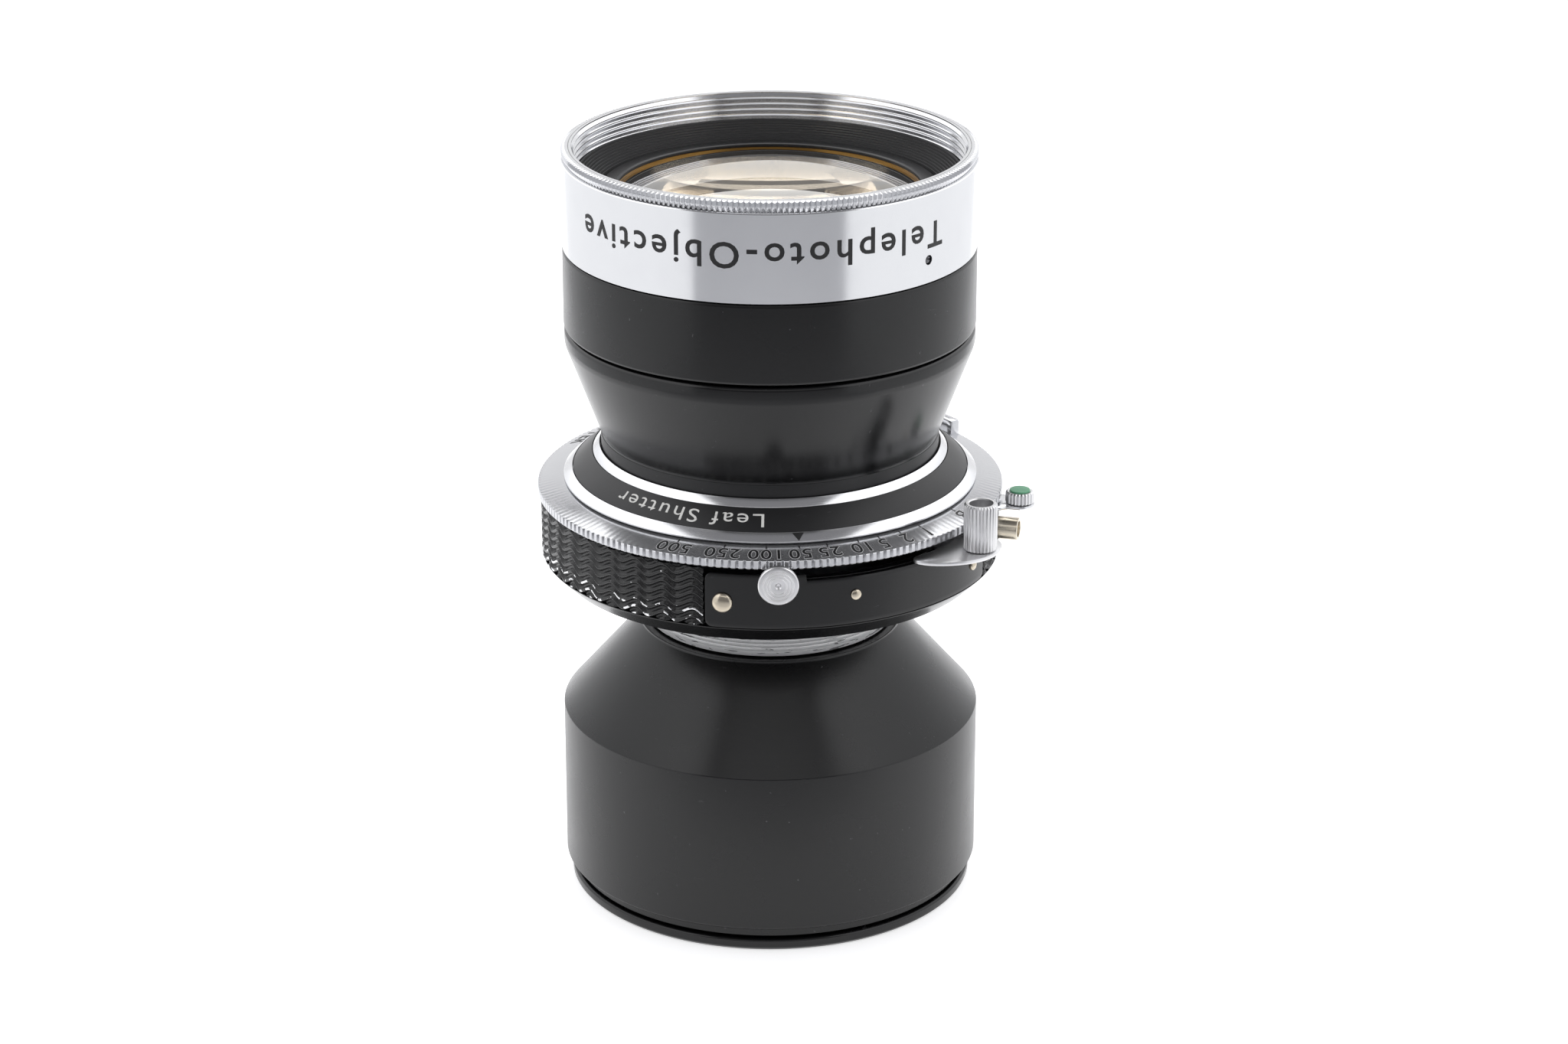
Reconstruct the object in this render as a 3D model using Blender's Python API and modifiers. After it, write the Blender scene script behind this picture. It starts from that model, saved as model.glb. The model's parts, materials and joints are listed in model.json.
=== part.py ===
"""Telephoto taking lens in a between-the-lens leaf shutter, standing on its rear rim, front glass up.

The optical axis is +Z and the origin is the centre of the rear rim's face. Angles are measured about
the axis from the front (-Y) towards +X. Radii are worked outwards from the shutter's bore, and
heights upwards from the rear rim, so a changed size moves whatever seats on it.
"""

import math

import bmesh
import bpy

MM = 0.001

# Fits
CLEAR = 0.3 * MM  # between pieces that seat on each other
TRIM_CLEAR = 0.1 * MM  # between turned trim rings, and between knobs and their arms
RUNNING = 0.4 * MM  # round pieces that turn

# Bore, tubes and walls
BORE_RADIUS = 12.4 * MM
TUBE_WALL = 1.3 * MM
MOUNT_WALL = 2.05 * MM
RING_STEPS = 40
INNER_STEPS = 24

# Rear cell
RIM_STEP = 0.73 * MM  # the rim is this much smaller than the barrel
RIM_HEIGHT = 1.6 * MM
RIM_LIP = 3.43 * MM
GROOVE_DEPTH = 1.2 * MM
GROOVE_HEIGHT = 1.36 * MM
REAR_RADIUS = 26.93 * MM
REAR_CYLINDER = 20.9 * MM
REAR_CONE = 11.54 * MM
REAR_WALL = 2.5 * MM
REAR_NECK_LIP = 0.65 * MM
LIP_HEIGHT = 0.3 * MM
REAR_SHOULDER = 1.6 * MM
MOUNT_THREAD = 6.88 * MM

# Shutter case
BACK_CHAMFER = 2.35 * MM
HOUSING_WALL = 1.2 * MM
FLOOR = 1.4 * MM
SKIN = 0.7 * MM

# Top rings, from the neck outwards
TOP_OVERHANG = 4.1 * MM  # from the front thread tube to the neck's outside
INNER_BEZEL_WIDTH = 0.85 * MM
NAME_RING_WIDTH = 2.45 * MM
OUTER_BEZEL_WIDTH = 1.12 * MM
SPEED_FACE_WIDTH = 3.32 * MM
BEZEL_RISE = 0.87 * MM
NAME_RING_RISE = 2.2 * MM
SPEED_RING_HEIGHT = 1.86 * MM
SPEED_FACE_DROP = 0.36 * MM
SPEED_RING_GAP = 0.14 * MM
LUG_RISE = 1.4 * MM
LUG_WIDTH = 1.6 * MM

# Levers and knobs
LEVER_THICKNESS = 0.5 * MM
ARM_GAP = 0.2 * MM
LEVER_ANGLE = 52.0
LEVER_REACH = 3.3 * MM
COCKING_KNOB_RADIUS = 2.1 * MM
COCKING_KNOB_HEIGHT = 6.0 * MM
KNOB_HOLE_RADIUS = 1.45 * MM
SYNC_ANGLE = 80.0
SYNC_THICKNESS = 0.4 * MM
SYNC_KNOB_RADIUS = 1.82 * MM
SYNC_KNOB_HEIGHT = 1.5 * MM
BUTTON_ANGLE = 2.0
BUTTON_RADIUS = 2.5 * MM
BUTTON_THICKNESS = 0.9 * MM
BUTTON_TRAVEL = 0.8 * MM
BUTTON_DROP = 1.25 * MM
STEM_RADIUS = 0.8 * MM
FLASH_ANGLE = 75.0
FLASH_RADIUS = 1.45 * MM
FLASH_REACH = 3.2 * MM
FLASH_DROP = 2.75 * MM
RELEASE_ANGLE = 165.0
CABLE_ANGLE = 190.0
APERTURE_ANGLE = 212.0
REAR_ARM_REACH = 3.5 * MM

# Blades and iris
BLADE_COUNT = 5
BLADE_THICKNESS = 0.15 * MM
BLADE_PITCH = 0.27 * MM
BLADE_OVERLAP = 0.5 * MM
PIVOT_OFFSET = 6.6 * MM  # from the bore to the blade pivots
PIN_RADIUS = 0.5 * MM
PLATE_THICKNESS = 0.6 * MM
MECHANISM_SPACE = 2.21 * MM
LEAF_COUNT = 8
LEAF_THICKNESS = 0.08 * MM
LEAF_PITCH = 0.18 * MM
LEAF_WIDTH = 3.8 * MM
LEAF_SPAN = 100.0

# Front cell
NECK_HEIGHT = 2.5 * MM
FUNNEL_HEIGHT = 11.9 * MM
FUNNEL_WALL = 1.3 * MM
BEAD_HEIGHT = 2.2 * MM
BARREL_HEIGHT = 10.1 * MM
FRONT_RADIUS = 26.0 * MM
BAND_HEIGHT = 11.3 * MM
KNURL_HEIGHT = 1.5 * MM
KNURL_RADIUS_DROP = 0.4 * MM
FILTER_WALL = 1.6 * MM
FILTER_DEPTH = 3.4 * MM
BAFFLE_DEPTH = 2.3 * MM
BAFFLE_WIDTH = 2.6 * MM
BAFFLE_FOOT = 1.0 * MM
CELL_WALL = 1.8 * MM
RETAINER_WIDTH = 2.1 * MM
FRONT_GLASS_CURVE = 62.0 * MM
FRONT_CEMENT_CURVE = 80.0 * MM
CROWN_EDGE = 2.1 * MM
FLINT_EDGE = 5.6 * MM
INNER_GLASS_EDGE = 4.6 * MM
GRUB_ANGLE = 48.0
GRUB_RADIUS = 0.5 * MM

# Heights, worked upwards from the rear rim
housing_base = RIM_HEIGHT + CLEAR
groove_top = housing_base + GROOVE_HEIGHT
cylinder_top = groove_top + REAR_CYLINDER
cone_top = cylinder_top + REAR_CONE
lip_top = cone_top + LIP_HEIGHT
mount_base = lip_top + CLEAR
seat = mount_base + MOUNT_THREAD
chamfer_top = seat + BACK_CHAMFER
floor_top = seat + FLOOR
flange_base = floor_top + CLEAR
flange_top = flange_base + PLATE_THICKNESS
leaf_base = flange_top + CLEAR
blade_base = leaf_base + LEAF_COUNT * LEAF_PITCH + RUNNING
plate_base = blade_base + BLADE_COUNT * BLADE_PITCH + CLEAR
plate_top = plate_base + PLATE_THICKNESS
lever_base = plate_top + MECHANISM_SPACE
lever_top = lever_base + LEVER_THICKNESS
sync_base = lever_top + ARM_GAP
sync_top = sync_base + SYNC_THICKNESS
drum_top = sync_top + ARM_GAP
speed_base = drum_top + SPEED_RING_GAP
speed_top = speed_base + SPEED_RING_HEIGHT
bezel_base = speed_top + 0.25 * MM
bezel_edge = bezel_base + 0.2 * MM
name_base = bezel_edge + BEZEL_RISE
name_top = name_base + NAME_RING_RISE
ring_stack_top = name_top + BEZEL_RISE
neck_base = ring_stack_top - 0.85 * MM
neck_top = neck_base + NECK_HEIGHT
funnel_top = neck_top + FUNNEL_HEIGHT
bead_top = funnel_top + BEAD_HEIGHT
barrel_base = bead_top + CLEAR
barrel_top = barrel_base + BARREL_HEIGHT
band_base = barrel_top + TRIM_CLEAR
band_top = band_base + BAND_HEIGHT
rim_top = band_top + KNURL_HEIGHT
thread_end = rim_top - FILTER_DEPTH
baffle_end = thread_end - BAFFLE_DEPTH
baffle_base = baffle_end - BAFFLE_FOOT
glass_rim = baffle_base - CLEAR - 0.2 * MM

# Radii, worked outwards from the bore
spigot_bore = BORE_RADIUS + 0.2 * MM
spigot_radius = spigot_bore + TUBE_WALL
mount_bore = spigot_radius + CLEAR
mount_radius = mount_bore + MOUNT_WALL
front_spigot_bore = mount_bore
front_spigot_radius = front_spigot_bore + TUBE_WALL + CLEAR
socket_bore = front_spigot_radius + CLEAR
socket_radius = socket_bore + TUBE_WALL
ring_bore = socket_radius + RUNNING
neck_radius = socket_radius + TOP_OVERHANG
bezel_bore = neck_radius + CLEAR
name_bore = bezel_bore + INNER_BEZEL_WIDTH + TRIM_CLEAR
name_radius = name_bore + NAME_RING_WIDTH
outer_bezel_radius = name_radius + TRIM_CLEAR + OUTER_BEZEL_WIDTH
speed_radius = outer_bezel_radius + SPEED_FACE_WIDTH
drum_radius = speed_radius - 0.34 * MM
skin_bore = drum_radius - SKIN
housing_radius = skin_bore - CLEAR
cavity_radius = housing_radius - HOUSING_WALL
pivot_radius = BORE_RADIUS + PIVOT_OFFSET
leaf_pivot_radius = BORE_RADIUS + 0.2 * MM + LEAF_WIDTH / 2
rear_neck_radius = mount_radius + REAR_NECK_LIP
rear_bore = REAR_RADIUS - REAR_WALL
rim_radius = REAR_RADIUS - RIM_STEP
rim_opening = rear_bore - RIM_LIP
lever_radius = speed_radius + LEVER_REACH
sync_radius = speed_radius + 0.65 * MM + SYNC_KNOB_RADIUS
button_face = speed_radius + 0.25 * MM + BUTTON_TRAVEL + BUTTON_THICKNESS
filter_bore = FRONT_RADIUS - FILTER_WALL
cell_radius = filter_bore - CLEAR
glass_radius = cell_radius - CELL_WALL - CLEAR
baffle_bore = cell_radius - BAFFLE_WIDTH
retainer_radius = baffle_bore - CLEAR
clear_radius = retainer_radius - RETAINER_WIDTH
button_height = drum_top - BUTTON_DROP
flash_height = drum_top - FLASH_DROP

for startup_object in list(bpy.data.objects):
    bpy.data.objects.remove(startup_object, do_unlink=True)

parts = bpy.data.collections.new("telephoto_shutter_lens")
cutters = bpy.data.collections.new("cutters")
bpy.context.scene.collection.children.link(parts)
bpy.context.scene.collection.children.link(cutters)


def material(name, colour, roughness, metallic=0.0):
    made = bpy.data.materials.get(name) or bpy.data.materials.new(name)
    made.use_nodes = True
    shader = made.node_tree.nodes["Principled BSDF"]
    shader.inputs["Base Color"].default_value = (*colour, 1.0)
    shader.inputs["Roughness"].default_value = roughness
    shader.inputs["Metallic"].default_value = metallic
    return made


def finish_of(kind, name):
    """Each piece has a material of its own, in one of the lens's few finishes."""
    colour, roughness, metallic = {
        "black": ((0.012, 0.012, 0.013), 0.35, 0.0),
        "glossy_black": ((0.01, 0.01, 0.011), 0.15, 0.0),
        "matt_black": ((0.02, 0.02, 0.021), 0.6, 0.0),
        "chrome": ((0.75, 0.75, 0.77), 0.2, 1.0),
        "aluminium": ((0.8, 0.8, 0.81), 0.38, 1.0),
        "steel": ((0.25, 0.25, 0.26), 0.35, 1.0),
        "brass": ((0.72, 0.63, 0.42), 0.28, 1.0),
        "glass": ((0.9, 0.88, 0.84), 0.02, 0.0),
        "green": ((0.08, 0.34, 0.2), 0.35, 0.0),
    }[kind]
    return material(name, colour, roughness, metallic)


def place(name, mesh, kind, location=(0, 0, 0), rotation=(0, 0, 0), collection=parts):
    shape = bpy.data.objects.new(name, mesh)
    shape.location = location
    shape.rotation_euler = rotation
    mesh.materials.clear()
    mesh.materials.append(finish_of(kind, name))
    collection.objects.link(shape)
    return shape


def turned(name, kind, profile, steps=RING_STEPS, closed=True, location=(0, 0, 0), rotation=(0, 0, 0)):
    """A turned piece: its profile of (radius, height) runs down the outside, then up the inside."""
    count = len(profile)
    edges = [(i, i + 1) for i in range(count - 1)]
    if closed:
        edges.append((count - 1, 0))
    mesh = bpy.data.meshes.new(name)
    mesh.from_pydata([(radius, 0, height) for radius, height in profile], edges, [])
    shape = place(name, mesh, kind, location, rotation)
    screw = shape.modifiers.new("turn", "SCREW")
    screw.axis = "Z"
    screw.steps = screw.render_steps = steps
    screw.use_merge_vertices = True
    screw.merge_threshold = 0.00001
    return shape


def polar(radius, angle):
    """A point at an angle from the front (-Y) towards +X."""
    turn = math.radians(angle)
    return (radius * math.sin(turn), -radius * math.cos(turn))


def arc(radius, start, end, step=6.0):
    """Points along an arc, at most a step apart."""
    count = max(1, math.ceil(abs(end - start) / step))
    return [polar(radius, start + (end - start) * i / count) for i in range(count + 1)]


def ring_outline(radius, count=RING_STEPS):
    return [polar(radius, 360.0 * i / count) for i in range(count)]


def flat_mesh(name, outlines, thickness):
    """A plate from closed outlines; the first is its edge and the others are holes."""
    curve = bpy.data.curves.new(name, "CURVE")
    curve.dimensions = "2D"
    curve.fill_mode = "BOTH"
    curve.extrude = thickness / 2
    for outline in outlines:
        spline = curve.splines.new("POLY")
        spline.points.add(len(outline) - 1)
        for point, (x, y) in zip(spline.points, outline):
            point.co = (x, y, 0, 1)
        spline.use_cyclic_u = True
    guide = bpy.data.objects.new(name + "_outline", curve)
    cutters.objects.link(guide)
    bpy.context.view_layer.update()
    evaluated = guide.evaluated_get(bpy.context.evaluated_depsgraph_get())
    mesh = bpy.data.meshes.new_from_object(evaluated)
    bpy.data.objects.remove(guide, do_unlink=True)
    edit = bmesh.new()
    edit.from_mesh(mesh)
    bmesh.ops.remove_doubles(edit, verts=edit.verts, dist=0.001 * MM)
    bmesh.ops.recalc_face_normals(edit, faces=edit.faces)
    edit.to_mesh(mesh)
    edit.free()
    return mesh


def flat_piece(name, kind, outlines, low, high, collection=parts):
    """A plate between two heights, its origin on the optical axis."""
    mesh = flat_mesh(name, outlines, high - low)
    return place(name, mesh, kind, (0, 0, (low + high) / 2), collection=collection)


def arc_piece(name, kind, inner, outer, start, end, low, high, collection=parts):
    """Part of a ring, between two angles and two heights."""
    outline = arc(outer, start, end) + arc(inner, end, start)
    return flat_piece(name, kind, [outline], low, high, collection)


def radial_rotation(angle):
    """Turns a piece's own +Z outwards, along the radius at this angle."""
    return (math.pi / 2, 0, math.radians(angle))


def rod_mesh(name, radius, length, segments):
    mesh = bpy.data.meshes.new(name)
    edit = bmesh.new()
    bmesh.ops.create_cone(
        edit, cap_ends=True, segments=segments, radius1=radius, radius2=radius, depth=length
    )
    edit.to_mesh(mesh)
    edit.free()
    return mesh


def rod(name, kind, radius, length, centre, rotation=(0, 0, 0), segments=20, collection=parts):
    return place(name, rod_mesh(name, radius, length, segments), kind, centre, rotation, collection)


def radial_rod(name, kind, radius, start, end, angle, height, segments=20, collection=parts):
    """A round rod along the radius at an angle, between two distances from the axis."""
    x, y = polar((start + end) / 2, angle)
    rotation = radial_rotation(angle)
    return rod(name, kind, radius, end - start, (x, y, height), rotation, segments, collection)


def combine(target, tool, operation):
    """Cuts a piece with a guide, or joins a guide to it."""
    tool.hide_render = True
    tool.display_type = "WIRE"
    boolean = target.modifiers.new(tool.name, "BOOLEAN")
    boolean.operation = operation
    boolean.solver = "EXACT"
    boolean.object = tool


def sphere_drop(radius, curve):
    """How far a spherical face falls from its crown at a radius."""
    return curve - math.sqrt(curve * curve - radius * radius)


def lens_face(rim_radius, rim_height, curve, count=4):
    """Points from the axis to the rim of a spherical face, which bulges up where its curve is positive."""
    side = math.copysign(1.0, curve)
    crown = rim_height + side * sphere_drop(rim_radius, abs(curve))
    radii = [rim_radius * i / count for i in range(count + 1)]
    return [(radius, crown - side * sphere_drop(radius, abs(curve))) for radius in radii]


def lens_element(name, radius, top_height, top_curve, base_height, base_curve):
    top = lens_face(radius, top_height, top_curve)
    base = lens_face(radius, base_height, base_curve)
    return turned(name, "glass", top + base[::-1], INNER_STEPS, closed=False)


def rear_cell():
    rim_spigot = rear_bore - CLEAR
    turned("rear_rim_ring", "glossy_black", [
        (rim_spigot, housing_base + GROOVE_HEIGHT / 3), (rim_spigot, RIM_HEIGHT),
        (rim_radius, RIM_HEIGHT), (rim_radius, 0.4 * MM), (rim_radius - 0.4 * MM, 0),
        (rim_opening, 0), (rim_opening, housing_base + GROOVE_HEIGHT / 3),
    ])
    slope = (REAR_RADIUS - rear_neck_radius) / REAR_CONE
    shoulder = rear_bore - REAR_SHOULDER
    shoulder_base = cylinder_top - 3.7 * MM
    cone_start = cylinder_top - 1.0 * MM + REAR_SHOULDER / slope
    cone_end = cone_start + (shoulder - spigot_bore) / slope
    turned("rear_housing", "black", [
        (spigot_radius, flange_base), (spigot_radius, lip_top), (rear_neck_radius, lip_top),
        (rear_neck_radius, cone_top), (REAR_RADIUS, cylinder_top), (REAR_RADIUS, groove_top),
        (REAR_RADIUS - GROOVE_DEPTH, groove_top), (REAR_RADIUS - GROOVE_DEPTH, housing_base),
        (rear_bore, housing_base), (rear_bore, shoulder_base), (shoulder, shoulder_base),
        (shoulder, cone_start), (spigot_bore, cone_end), (spigot_bore, flange_base),
    ])
    seat_radius = rear_bore - CLEAR
    inner_top = shoulder_base - CLEAR
    inner_low = inner_top - INNER_GLASS_EDGE
    spacer_low = inner_low - CLEAR - 4.0 * MM
    outer_top = spacer_low - CLEAR
    outer_low = outer_top - 3.4 * MM
    lens_element("rear_inner_glass", seat_radius, inner_top, -140 * MM, inner_low, 260 * MM)
    turned("rear_spacer_ring", "matt_black", [
        (seat_radius, inner_low - CLEAR), (seat_radius, spacer_low),
        (seat_radius - 1.4 * MM, spacer_low), (seat_radius - 1.4 * MM, inner_low - CLEAR),
    ], INNER_STEPS)
    lens_element("rear_outer_glass", seat_radius, outer_top, -110 * MM, outer_low, -260 * MM)
    ring_top = outer_low - CLEAR
    turned("rear_retaining_ring", "matt_black", [
        (seat_radius, ring_top), (seat_radius, ring_top - 2.0 * MM),
        (seat_radius - 2.4 * MM, ring_top - 2.0 * MM), (seat_radius - 2.4 * MM, ring_top),
    ], INNER_STEPS)


def shutter_case():
    """The drum, what covers it, and the tubes that hold the two cells."""
    housing = turned("shutter_housing", "black", [
        (housing_radius, drum_top - CLEAR), (housing_radius, chamfer_top), (drum_radius, chamfer_top),
        (drum_radius - BACK_CHAMFER, seat), (mount_radius + CLEAR, seat), (mount_radius + CLEAR, floor_top),
        (cavity_radius, floor_top), (cavity_radius, drum_top - CLEAR),
    ])
    skin_base = chamfer_top + CLEAR
    skin_top = drum_top - CLEAR
    plate_end, wrap_end = 66.0, 344.0
    wrap = arc_piece("leatherette_wrap", "matt_black", skin_bore, drum_radius, plate_end + 0.6, wrap_end,
                     skin_base, skin_top)
    plate = arc_piece("side_plate", "glossy_black", skin_bore, drum_radius, wrap_end - 359.4, plate_end,
                      skin_base, drum_top - 0.75 * MM)
    slots = {
        "cocking_slot": (8.8, 60.0, lever_base - CLEAR, drum_top, (housing, plate)),
        "sync_slot": (68.0, 95.0, sync_base - CLEAR, drum_top, (housing, wrap)),
        "release_slot": (RELEASE_ANGLE - 12.4, RELEASE_ANGLE + 7, lever_base - CLEAR, drum_top,
                         (housing, wrap)),
        "aperture_slot": (APERTURE_ANGLE - 62.4, APERTURE_ANGLE + 8, flange_base - CLEAR / 2,
                          flange_top + CLEAR / 2, (housing, wrap)),
    }
    for name, (start, end, low, high, pieces) in slots.items():
        guide = arc_piece(name, "matt_black", cavity_radius - 1 * MM, drum_radius + 1 * MM, start, end,
                          low, high + (0.1 * MM if high == drum_top else 0), cutters)
        for piece in pieces:
            combine(piece, guide, "DIFFERENCE")
    holes = {
        "button_hole": (BUTTON_ANGLE, button_height, STEM_RADIUS + CLEAR, (housing, plate)),
        "flash_hole": (FLASH_ANGLE, flash_height, FLASH_RADIUS + CLEAR, (housing, wrap)),
        "cable_hole": (CABLE_ANGLE, flash_height, 2.0 * MM + CLEAR, (housing, wrap)),
    }
    for name, (angle, height, radius, pieces) in holes.items():
        guide = radial_rod(name, "matt_black", radius, cavity_radius - 1 * MM, drum_radius + 1 * MM, angle,
                           height, collection=cutters)
        for piece in pieces:
            combine(piece, guide, "DIFFERENCE")
    rivets = {
        "rivet_large": (-11.4, seat + 5.7 * MM, 1.3 * MM),
        "rivet_front": (21.2, seat + 6.2 * MM, 0.7 * MM),
        "rivet_right": (60.0, seat + 5.0 * MM, 0.65 * MM),
    }
    for name, (angle, height, radius) in rivets.items():
        x, y = polar(drum_radius + TRIM_CLEAR, angle)
        dome = [(0, radius * 0.55), (radius * 0.5, radius * 0.47), (radius * 0.85, radius * 0.26),
                (radius, 0), (0, 0)]
        turned(name, "brass", dome, 16, False, (x, y, height), radial_rotation(angle))
    turned("mount_tube", "aluminium", [
        (ring_bore, flange_top), (ring_bore, flange_base), (mount_radius, flange_base),
        (mount_radius, mount_base), (mount_bore, mount_base), (mount_bore, flange_top),
    ])
    turned("front_thread_tube", "steel", [
        (socket_radius, name_top - 0.8 * MM), (socket_radius, plate_top + CLEAR),
        (socket_bore, plate_top + CLEAR), (socket_bore, name_top - 0.8 * MM),
    ], INNER_STEPS)


def top_rings():
    """The rings on the shutter's face: two bright bezels, the name ring and the speed ring."""
    bezel_seat = name_top - 0.7 * MM
    turned("inner_bezel", "chrome", [
        (bezel_bore + 0.05 * MM, ring_stack_top), (bezel_bore + INNER_BEZEL_WIDTH, name_top),
        (bezel_bore + INNER_BEZEL_WIDTH, bezel_seat), (bezel_bore, bezel_seat),
        (bezel_bore, ring_stack_top),
    ])
    skirt = name_bore + 0.05 * MM
    turned("name_ring", "black", [
        (name_bore, name_top), (name_radius, name_base), (name_radius, bezel_edge + 0.35 * MM),
        (skirt, bezel_edge + 0.35 * MM), (skirt, speed_base - CLEAR),
        (neck_radius - 0.2 * MM, speed_base - CLEAR),
        (neck_radius - 0.2 * MM, bezel_seat - 0.2 * MM), (name_bore, bezel_seat - 0.2 * MM),
    ])
    turned("outer_bezel", "chrome", [
        (name_radius + TRIM_CLEAR, name_base), (outer_bezel_radius, bezel_edge),
        (outer_bezel_radius, bezel_base),
        (skirt + TRIM_CLEAR, bezel_base), (skirt + TRIM_CLEAR, bezel_edge + 0.15 * MM),
        (name_radius + TRIM_CLEAR, bezel_edge + 0.15 * MM),
    ])
    speed_bore = skirt + RUNNING
    ring = turned("speed_ring", "chrome", [
        (outer_bezel_radius, speed_top), (speed_radius, speed_top - SPEED_FACE_DROP),
        (speed_radius, speed_base),
        (speed_bore, speed_base), (speed_bore, speed_top),
    ])
    lug = arc_piece("speed_ring_lug", "chrome", speed_radius - LUG_WIDTH, speed_radius - TRIM_CLEAR,
                    122.5, 142,
                    speed_base + CLEAR, speed_top + LUG_RISE, cutters)
    combine(ring, lug, "UNION")


def arm_outline(arm_radius, start, end, tip_radius, tip_start, tip_end):
    """The edge of a ring with one arm, from the ring out to a rounded tip."""
    body = arc(arm_radius, end, start + 360)
    neck_out = [polar(tip_radius * 0.87, tip_start), polar(tip_radius * 0.95, tip_start)]
    tip = arc(tip_radius, tip_start + (tip_end - tip_start) * 0.25, tip_end - (tip_end - tip_start) * 0.25)
    neck_in = [polar(tip_radius * 0.95, tip_end), polar(tip_radius * 0.87, tip_end)]
    return body + neck_out + tip + neck_in


def levers():
    """What a hand moves, besides the speed ring."""
    knob_x, knob_y = polar(lever_radius, LEVER_ANGLE)
    plate_tip = lever_radius + 2.0 * MM
    lever = flat_piece("cocking_lever", "aluminium", [
        arm_outline(ring_bore + 3.5 * MM, LEVER_ANGLE - 5, LEVER_ANGLE + 5, plate_tip, LEVER_ANGLE - 5,
                    LEVER_ANGLE + 5),
        ring_outline(ring_bore),
    ], lever_base, lever_top)
    crescent = flat_piece("cocking_lever_crescent", "aluminium", [
        arc(drum_radius + CLEAR, LEVER_ANGLE + 6, LEVER_ANGLE - 15)
        + arc(drum_radius + 3.0 * MM, LEVER_ANGLE - 12, LEVER_ANGLE - 8)
        + arc(plate_tip, LEVER_ANGLE - 4, LEVER_ANGLE + 4)
        + [polar(drum_radius + 3.0 * MM, LEVER_ANGLE + 7)],
    ], lever_base, lever_top, cutters)
    combine(lever, crescent, "UNION")
    hole_depth = 3.4 * MM
    turned("cocking_knob", "aluminium", [
        (KNOB_HOLE_RADIUS, COCKING_KNOB_HEIGHT), (COCKING_KNOB_RADIUS, COCKING_KNOB_HEIGHT),
        (COCKING_KNOB_RADIUS, 0),
        (0, 0), (0, COCKING_KNOB_HEIGHT - hole_depth), (KNOB_HOLE_RADIUS, COCKING_KNOB_HEIGHT - hole_depth),
    ], 24, True, (knob_x, knob_y, lever_top + TRIM_CLEAR))
    sync_outline = (
        arc(ring_bore + 7.0 * MM, SYNC_ANGLE + 8, SYNC_ANGLE - 8)
        + arc(sync_radius + 0.9 * MM, SYNC_ANGLE - 1.6, SYNC_ANGLE + 1.6, 2.0)
    )
    flat_piece("sync_lever", "steel", [sync_outline], sync_base, sync_top)
    sync_x, sync_y = polar(sync_radius, SYNC_ANGLE)
    knob_base = sync_top + TRIM_CLEAR
    rod("sync_knob", "aluminium", SYNC_KNOB_RADIUS, SYNC_KNOB_HEIGHT,
        (sync_x, sync_y, knob_base + SYNC_KNOB_HEIGHT / 2))
    cap_height = 0.25 * MM
    rod("sync_cap", "green", SYNC_KNOB_RADIUS * 0.72, cap_height,
        (sync_x, sync_y, knob_base + SYNC_KNOB_HEIGHT + TRIM_CLEAR / 2 + cap_height / 2))
    x, y = polar(button_face, BUTTON_ANGLE)
    turned("focus_button", "aluminium", [
        (0, 0), (BUTTON_RADIUS, 0), (BUTTON_RADIUS, -BUTTON_THICKNESS), (STEM_RADIUS, -BUTTON_THICKNESS),
        (STEM_RADIUS, cavity_radius - CLEAR - button_face), (0, cavity_radius - CLEAR - button_face),
    ], 24, False, (x, y, button_height), radial_rotation(BUTTON_ANGLE))
    release_arm = (
        arc(ring_bore + 6.0 * MM, RELEASE_ANGLE + 5, RELEASE_ANGLE - 5)
        + arc(speed_radius + REAR_ARM_REACH, RELEASE_ANGLE - 3, RELEASE_ANGLE + 3)
    )
    flat_piece("release_lever", "aluminium", [release_arm], lever_base, lever_top)


def sockets():
    """The flash contact at the side and the cable-release socket at the back."""
    end = speed_radius + FLASH_REACH - 0.3 * MM
    start = cavity_radius - CLEAR
    length = end - start
    x, y = polar(start, FLASH_ANGLE)
    insulator_radius = FLASH_RADIUS * 0.66
    bore = insulator_radius + TRIM_CLEAR / 2
    rotation = radial_rotation(FLASH_ANGLE)
    turned("flash_sleeve", "brass", [
        (FLASH_RADIUS, length), (FLASH_RADIUS, 0), (bore, 0), (bore, length),
    ], 20, True, (x, y, flash_height), rotation)
    pin_radius = FLASH_RADIUS * 0.28
    recess = 0.5 * MM
    turned("flash_insulator", "matt_black", [
        (insulator_radius, length - recess), (insulator_radius, 0), (pin_radius + TRIM_CLEAR / 2, 0),
        (pin_radius + TRIM_CLEAR / 2, length - recess),
    ], 20, True, (x, y, flash_height), rotation)
    radial_rod("flash_pin", "brass", pin_radius, start, end - recess * 1.2, FLASH_ANGLE, flash_height, 12)
    x, y = polar(start, CABLE_ANGLE)
    cable_length = drum_radius + 3.0 * MM - start
    turned("cable_socket", "steel", [
        (2.0 * MM, cable_length), (2.0 * MM, 0), (1.2 * MM, 0), (1.2 * MM, cable_length),
    ], 20, True, (x, y, flash_height), radial_rotation(CABLE_ANGLE))


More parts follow.
